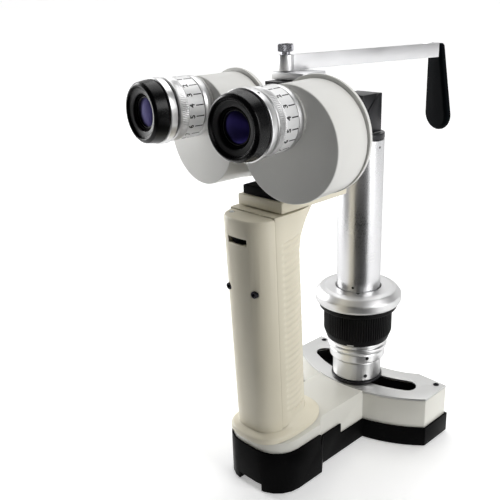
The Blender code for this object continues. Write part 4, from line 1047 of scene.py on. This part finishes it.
def build_pad():
    """The soft pad: crowned on both faces, narrow at the top and round at the foot."""
    cloud = points_of("forehead_pad")
    spread = np.linalg.svd(cloud - cloud.mean(0), full_matrices=False)[2]
    down, across, normal = (Vector(axis).normalized() for axis in spread)
    if down.z < 0:
        down = -down
    if across.cross(down).dot(normal) < 0:
        normal = -normal
    basis = Matrix((across, down, normal)).transposed().to_4x4()
    spans = [span_along("forehead_pad", axis) for axis in (across, down, normal)]
    basis.translation = basis.to_3x3() @ Vector([(near + far) / 2 for near, far in spans])
    foot, tall, thick = ((far - near) / 2 for near, far in spans)
    top = foot * PAD_TOP_SHARE
    outline = [(top - PAD_CORNER, tall), (-top + PAD_CORNER, tall), (-top, tall - PAD_CORNER)]
    outline += arc_points((0.0, foot - tall), foot, 180, 360, 28)
    outline += [(top, tall - PAD_CORNER)]
    sections = []
    for turn in np.radians(np.linspace(-90, 90, 15)):
        level = shrink(outline, PAD_CROWN * (1 - math.cos(turn)))
        sections.append([basis @ Vector((x, y, thick * math.sin(turn))) for x, y in level])
    pad = Piece("soft_brow_pad", "forehead_pad")
    pad.loft(sections, PADDING)
    pad.done(angle=60)


build_clamp()
build_pad()


# ---------------- nodes that keep their own shape

for kept in NODES.values():
    if not kept.hide_render:
        for slot in kept.material_slots:
            slot.material = MADE[slot.material.name.split(".")[0]]


# ---------------- floor, light and camera

VIEW_TURN = math.radians(46.54)
VIEW_DROP = math.radians(19.75)
VIEW_ROLL = math.radians(-1.88)
VIEW_RIGHT = Vector((math.cos(VIEW_TURN), math.sin(VIEW_TURN), 0.0))
VIEW_DEEP = Vector((-math.sin(VIEW_TURN), math.cos(VIEW_TURN), 0.0))
CAMERA_PLACE = Vector((0.26113, -0.34064, 0.27398))
FOCAL_LENGTH = 52.31
FILM_WIDTH = 36.0

SWEEP_HALF = 16.0              # the paper's half-width
SWEEP_NEAR, SWEEP_FAR, SWEEP_TOP = -3.0, 1.2, 3.0
SWEEP_BEND = 0.9               # the radius at which it turns up
PAPER_GLOW = (0.32, 0.62)      # near the lamp, and where the paper rises behind it
GLOW_REACH = (0.7, 1.9)
# Black flags on the paper that only reflections and bounced light see: from and to, in degrees from the
# examiner's side towards the right, then nearest and farthest reach.
FLAG_SECTORS = ((-46, 0, 0.50, 1.6), (0, 34, 0.15, 1.6), (34, 82, 0.075, 1.6))
FLAG_LIFT = 0.002
FLAG_STEPS = 8
SKY = (0.64, 0.04)             # the pale walls, and the dark end of the room on the examiner's side
DARK_SIDE = (0.35, -0.93, 0.05)
DARK_EDGE = (0.15, 0.75)
# Places right of, behind and above the lamp as the camera sees it, in metres; sizes; power in watts.
LIGHTS = (
    ("right_softbox", (0.92, -0.78, 0.50), (0.6, 1.0), 11.0),
    ("left_softbox", (-0.95, 0.75, 0.30), (0.4, 0.9), 10.0),
    ("top_softbox", (0.2, 0.5, 1.3), (1.2, 0.9), 9.0),
)


def staged(name, shape, material):
    """A piece of the studio, from a finished bmesh."""
    mesh = bpy.data.meshes.new(name)
    shape.to_mesh(mesh)
    shape.free()
    mesh.materials.append(material)
    made = placed(name, mesh)
    return made


def glowing_paper():
    """White paper that glows a little, and more where it rises, so that it stays white behind the lamp."""
    paper = surface("studio_paper", (0.93, 0.93, 0.93), 0.70, mottle=0.004, grain=0.1, grain_scale=700.0)
    tree = paper.node_tree
    place = wired(tree, "TexCoord", {})["Object"]
    reach = wired(tree, "VectorMath", {0: place}, operation="LENGTH")["Value"]
    glow = ramp(tree, reach, GLOW_REACH, PAPER_GLOW, "SMOOTHSTEP")
    shine = {"Emission Color": (1.0, 1.0, 1.0, 1.0), "Emission Strength": glow}
    feed(tree, tree.nodes["Principled BSDF"], shine)
    return paper


def one_sided_velvet():
    """Black cloth that lets light through its back, so that the paper under it stays lit."""
    velvet = surface("flag_velvet", (0.006, 0.006, 0.006), 0.95, mottle=0.1, grain=0.2, specular=0.0)
    tree = velvet.node_tree
    behind = wired(tree, "NewGeometry", {})["Backfacing"]
    clear = wired(tree, "BsdfTransparent", {})["BSDF"]
    cloth = tree.nodes["Principled BSDF"].outputs["BSDF"]
    choice = wired(tree, "MixShader", {"Fac": behind, 1: cloth, 2: clear})["Shader"]
    feed(tree, tree.nodes["Material Output"], {"Surface": choice})
    return velvet


def build_sweep():
    """The pale paper under and behind the lamp."""
    shape = bmesh.new()
    profile = [(SWEEP_NEAR, 0.0), (SWEEP_FAR, 0.0)]
    profile += [(SWEEP_FAR + SWEEP_BEND * math.sin(turn), SWEEP_BEND * (1 - math.cos(turn)))
                for turn in np.linspace(0.2, 1.57, 8)]
    profile += [(SWEEP_FAR + SWEEP_BEND, SWEEP_TOP)]
    edge = VIEW_RIGHT * SWEEP_HALF
    rows = [[shape.verts.new(side + VIEW_DEEP * along + UP * height) for side in (-edge, edge)]
            for along, height in profile]
    for near, far in zip(rows, rows[1:]):
        shape.faces.new((near[0], near[1], far[1], far[0])).smooth = True
    staged("studio_sweep", shape, glowing_paper())


def build_flags():
    """Black sectors on the floor, for the dark side of the reflections."""
    shape = bmesh.new()
    for first, last, near, far in FLAG_SECTORS:
        turns = np.radians(np.linspace(first, last, FLAG_STEPS + 1))
        inner, outer = ([shape.verts.new((reach * math.sin(turn), -reach * math.cos(turn), FLAG_LIFT))
                         for turn in turns] for reach in (near, far))
        for index in range(FLAG_STEPS):
            shape.faces.new((inner[index], outer[index], outer[index + 1], inner[index + 1]))
    flags = staged("studio_flags", shape, one_sided_velvet())
    flags.visible_camera = False
    flags.visible_shadow = False


def build_walls():
    """The room's light: pale walls that darken towards one side."""
    world = bpy.data.worlds.new("studio_walls")
    world.use_nodes = True
    tree = world.node_tree
    direction = wired(tree, "TexCoord", {})["Generated"]
    facing = wired(tree, "VectorMath", {0: direction, 1: DARK_SIDE}, operation="DOT_PRODUCT")["Value"]
    feed(tree, tree.nodes["Background"], {"Strength": ramp(tree, facing, DARK_EDGE, SKY, "SMOOTHSTEP")})
    bpy.context.scene.world = world


def build_lights():
    target = (cad_low + cad_high) / 2
    for name, (right, deep, above), (width, height), power in LIGHTS:
        data = bpy.data.lights.new(name, "AREA")
        data.shape = "RECTANGLE"
        data.size, data.size_y = width, height
        data.energy = power
        lamp = placed(name, data)
        lamp.location = target + VIEW_RIGHT * right + VIEW_DEEP * deep + UP * above
        lamp.rotation_euler = (target - lamp.location).to_track_quat("-Z", "Y").to_euler()
        lamp.visible_camera = False


def build_camera():
    """The photograph's viewpoint: a short tele lens close to the lamp, looking slightly down."""
    ahead = VIEW_DEEP * math.cos(VIEW_DROP) - UP * math.sin(VIEW_DROP)
    above = VIEW_RIGHT.cross(ahead)
    side = VIEW_RIGHT * math.cos(VIEW_ROLL) + above * math.sin(VIEW_ROLL)
    top = above * math.cos(VIEW_ROLL) - VIEW_RIGHT * math.sin(VIEW_ROLL)
    data = bpy.data.cameras.new("camera")
    data.lens = FOCAL_LENGTH
    data.sensor_width = FILM_WIDTH
    data.clip_start = 0.01
    camera = placed("camera", data)
    camera.matrix_world = Matrix((side, top, -ahead)).transposed().to_4x4()
    camera.location = CAMERA_PLACE
    bpy.context.scene.camera = camera


build_sweep()
build_flags()
build_walls()
build_lights()
build_camera()
bpy.context.scene.view_settings.view_transform = "Standard"
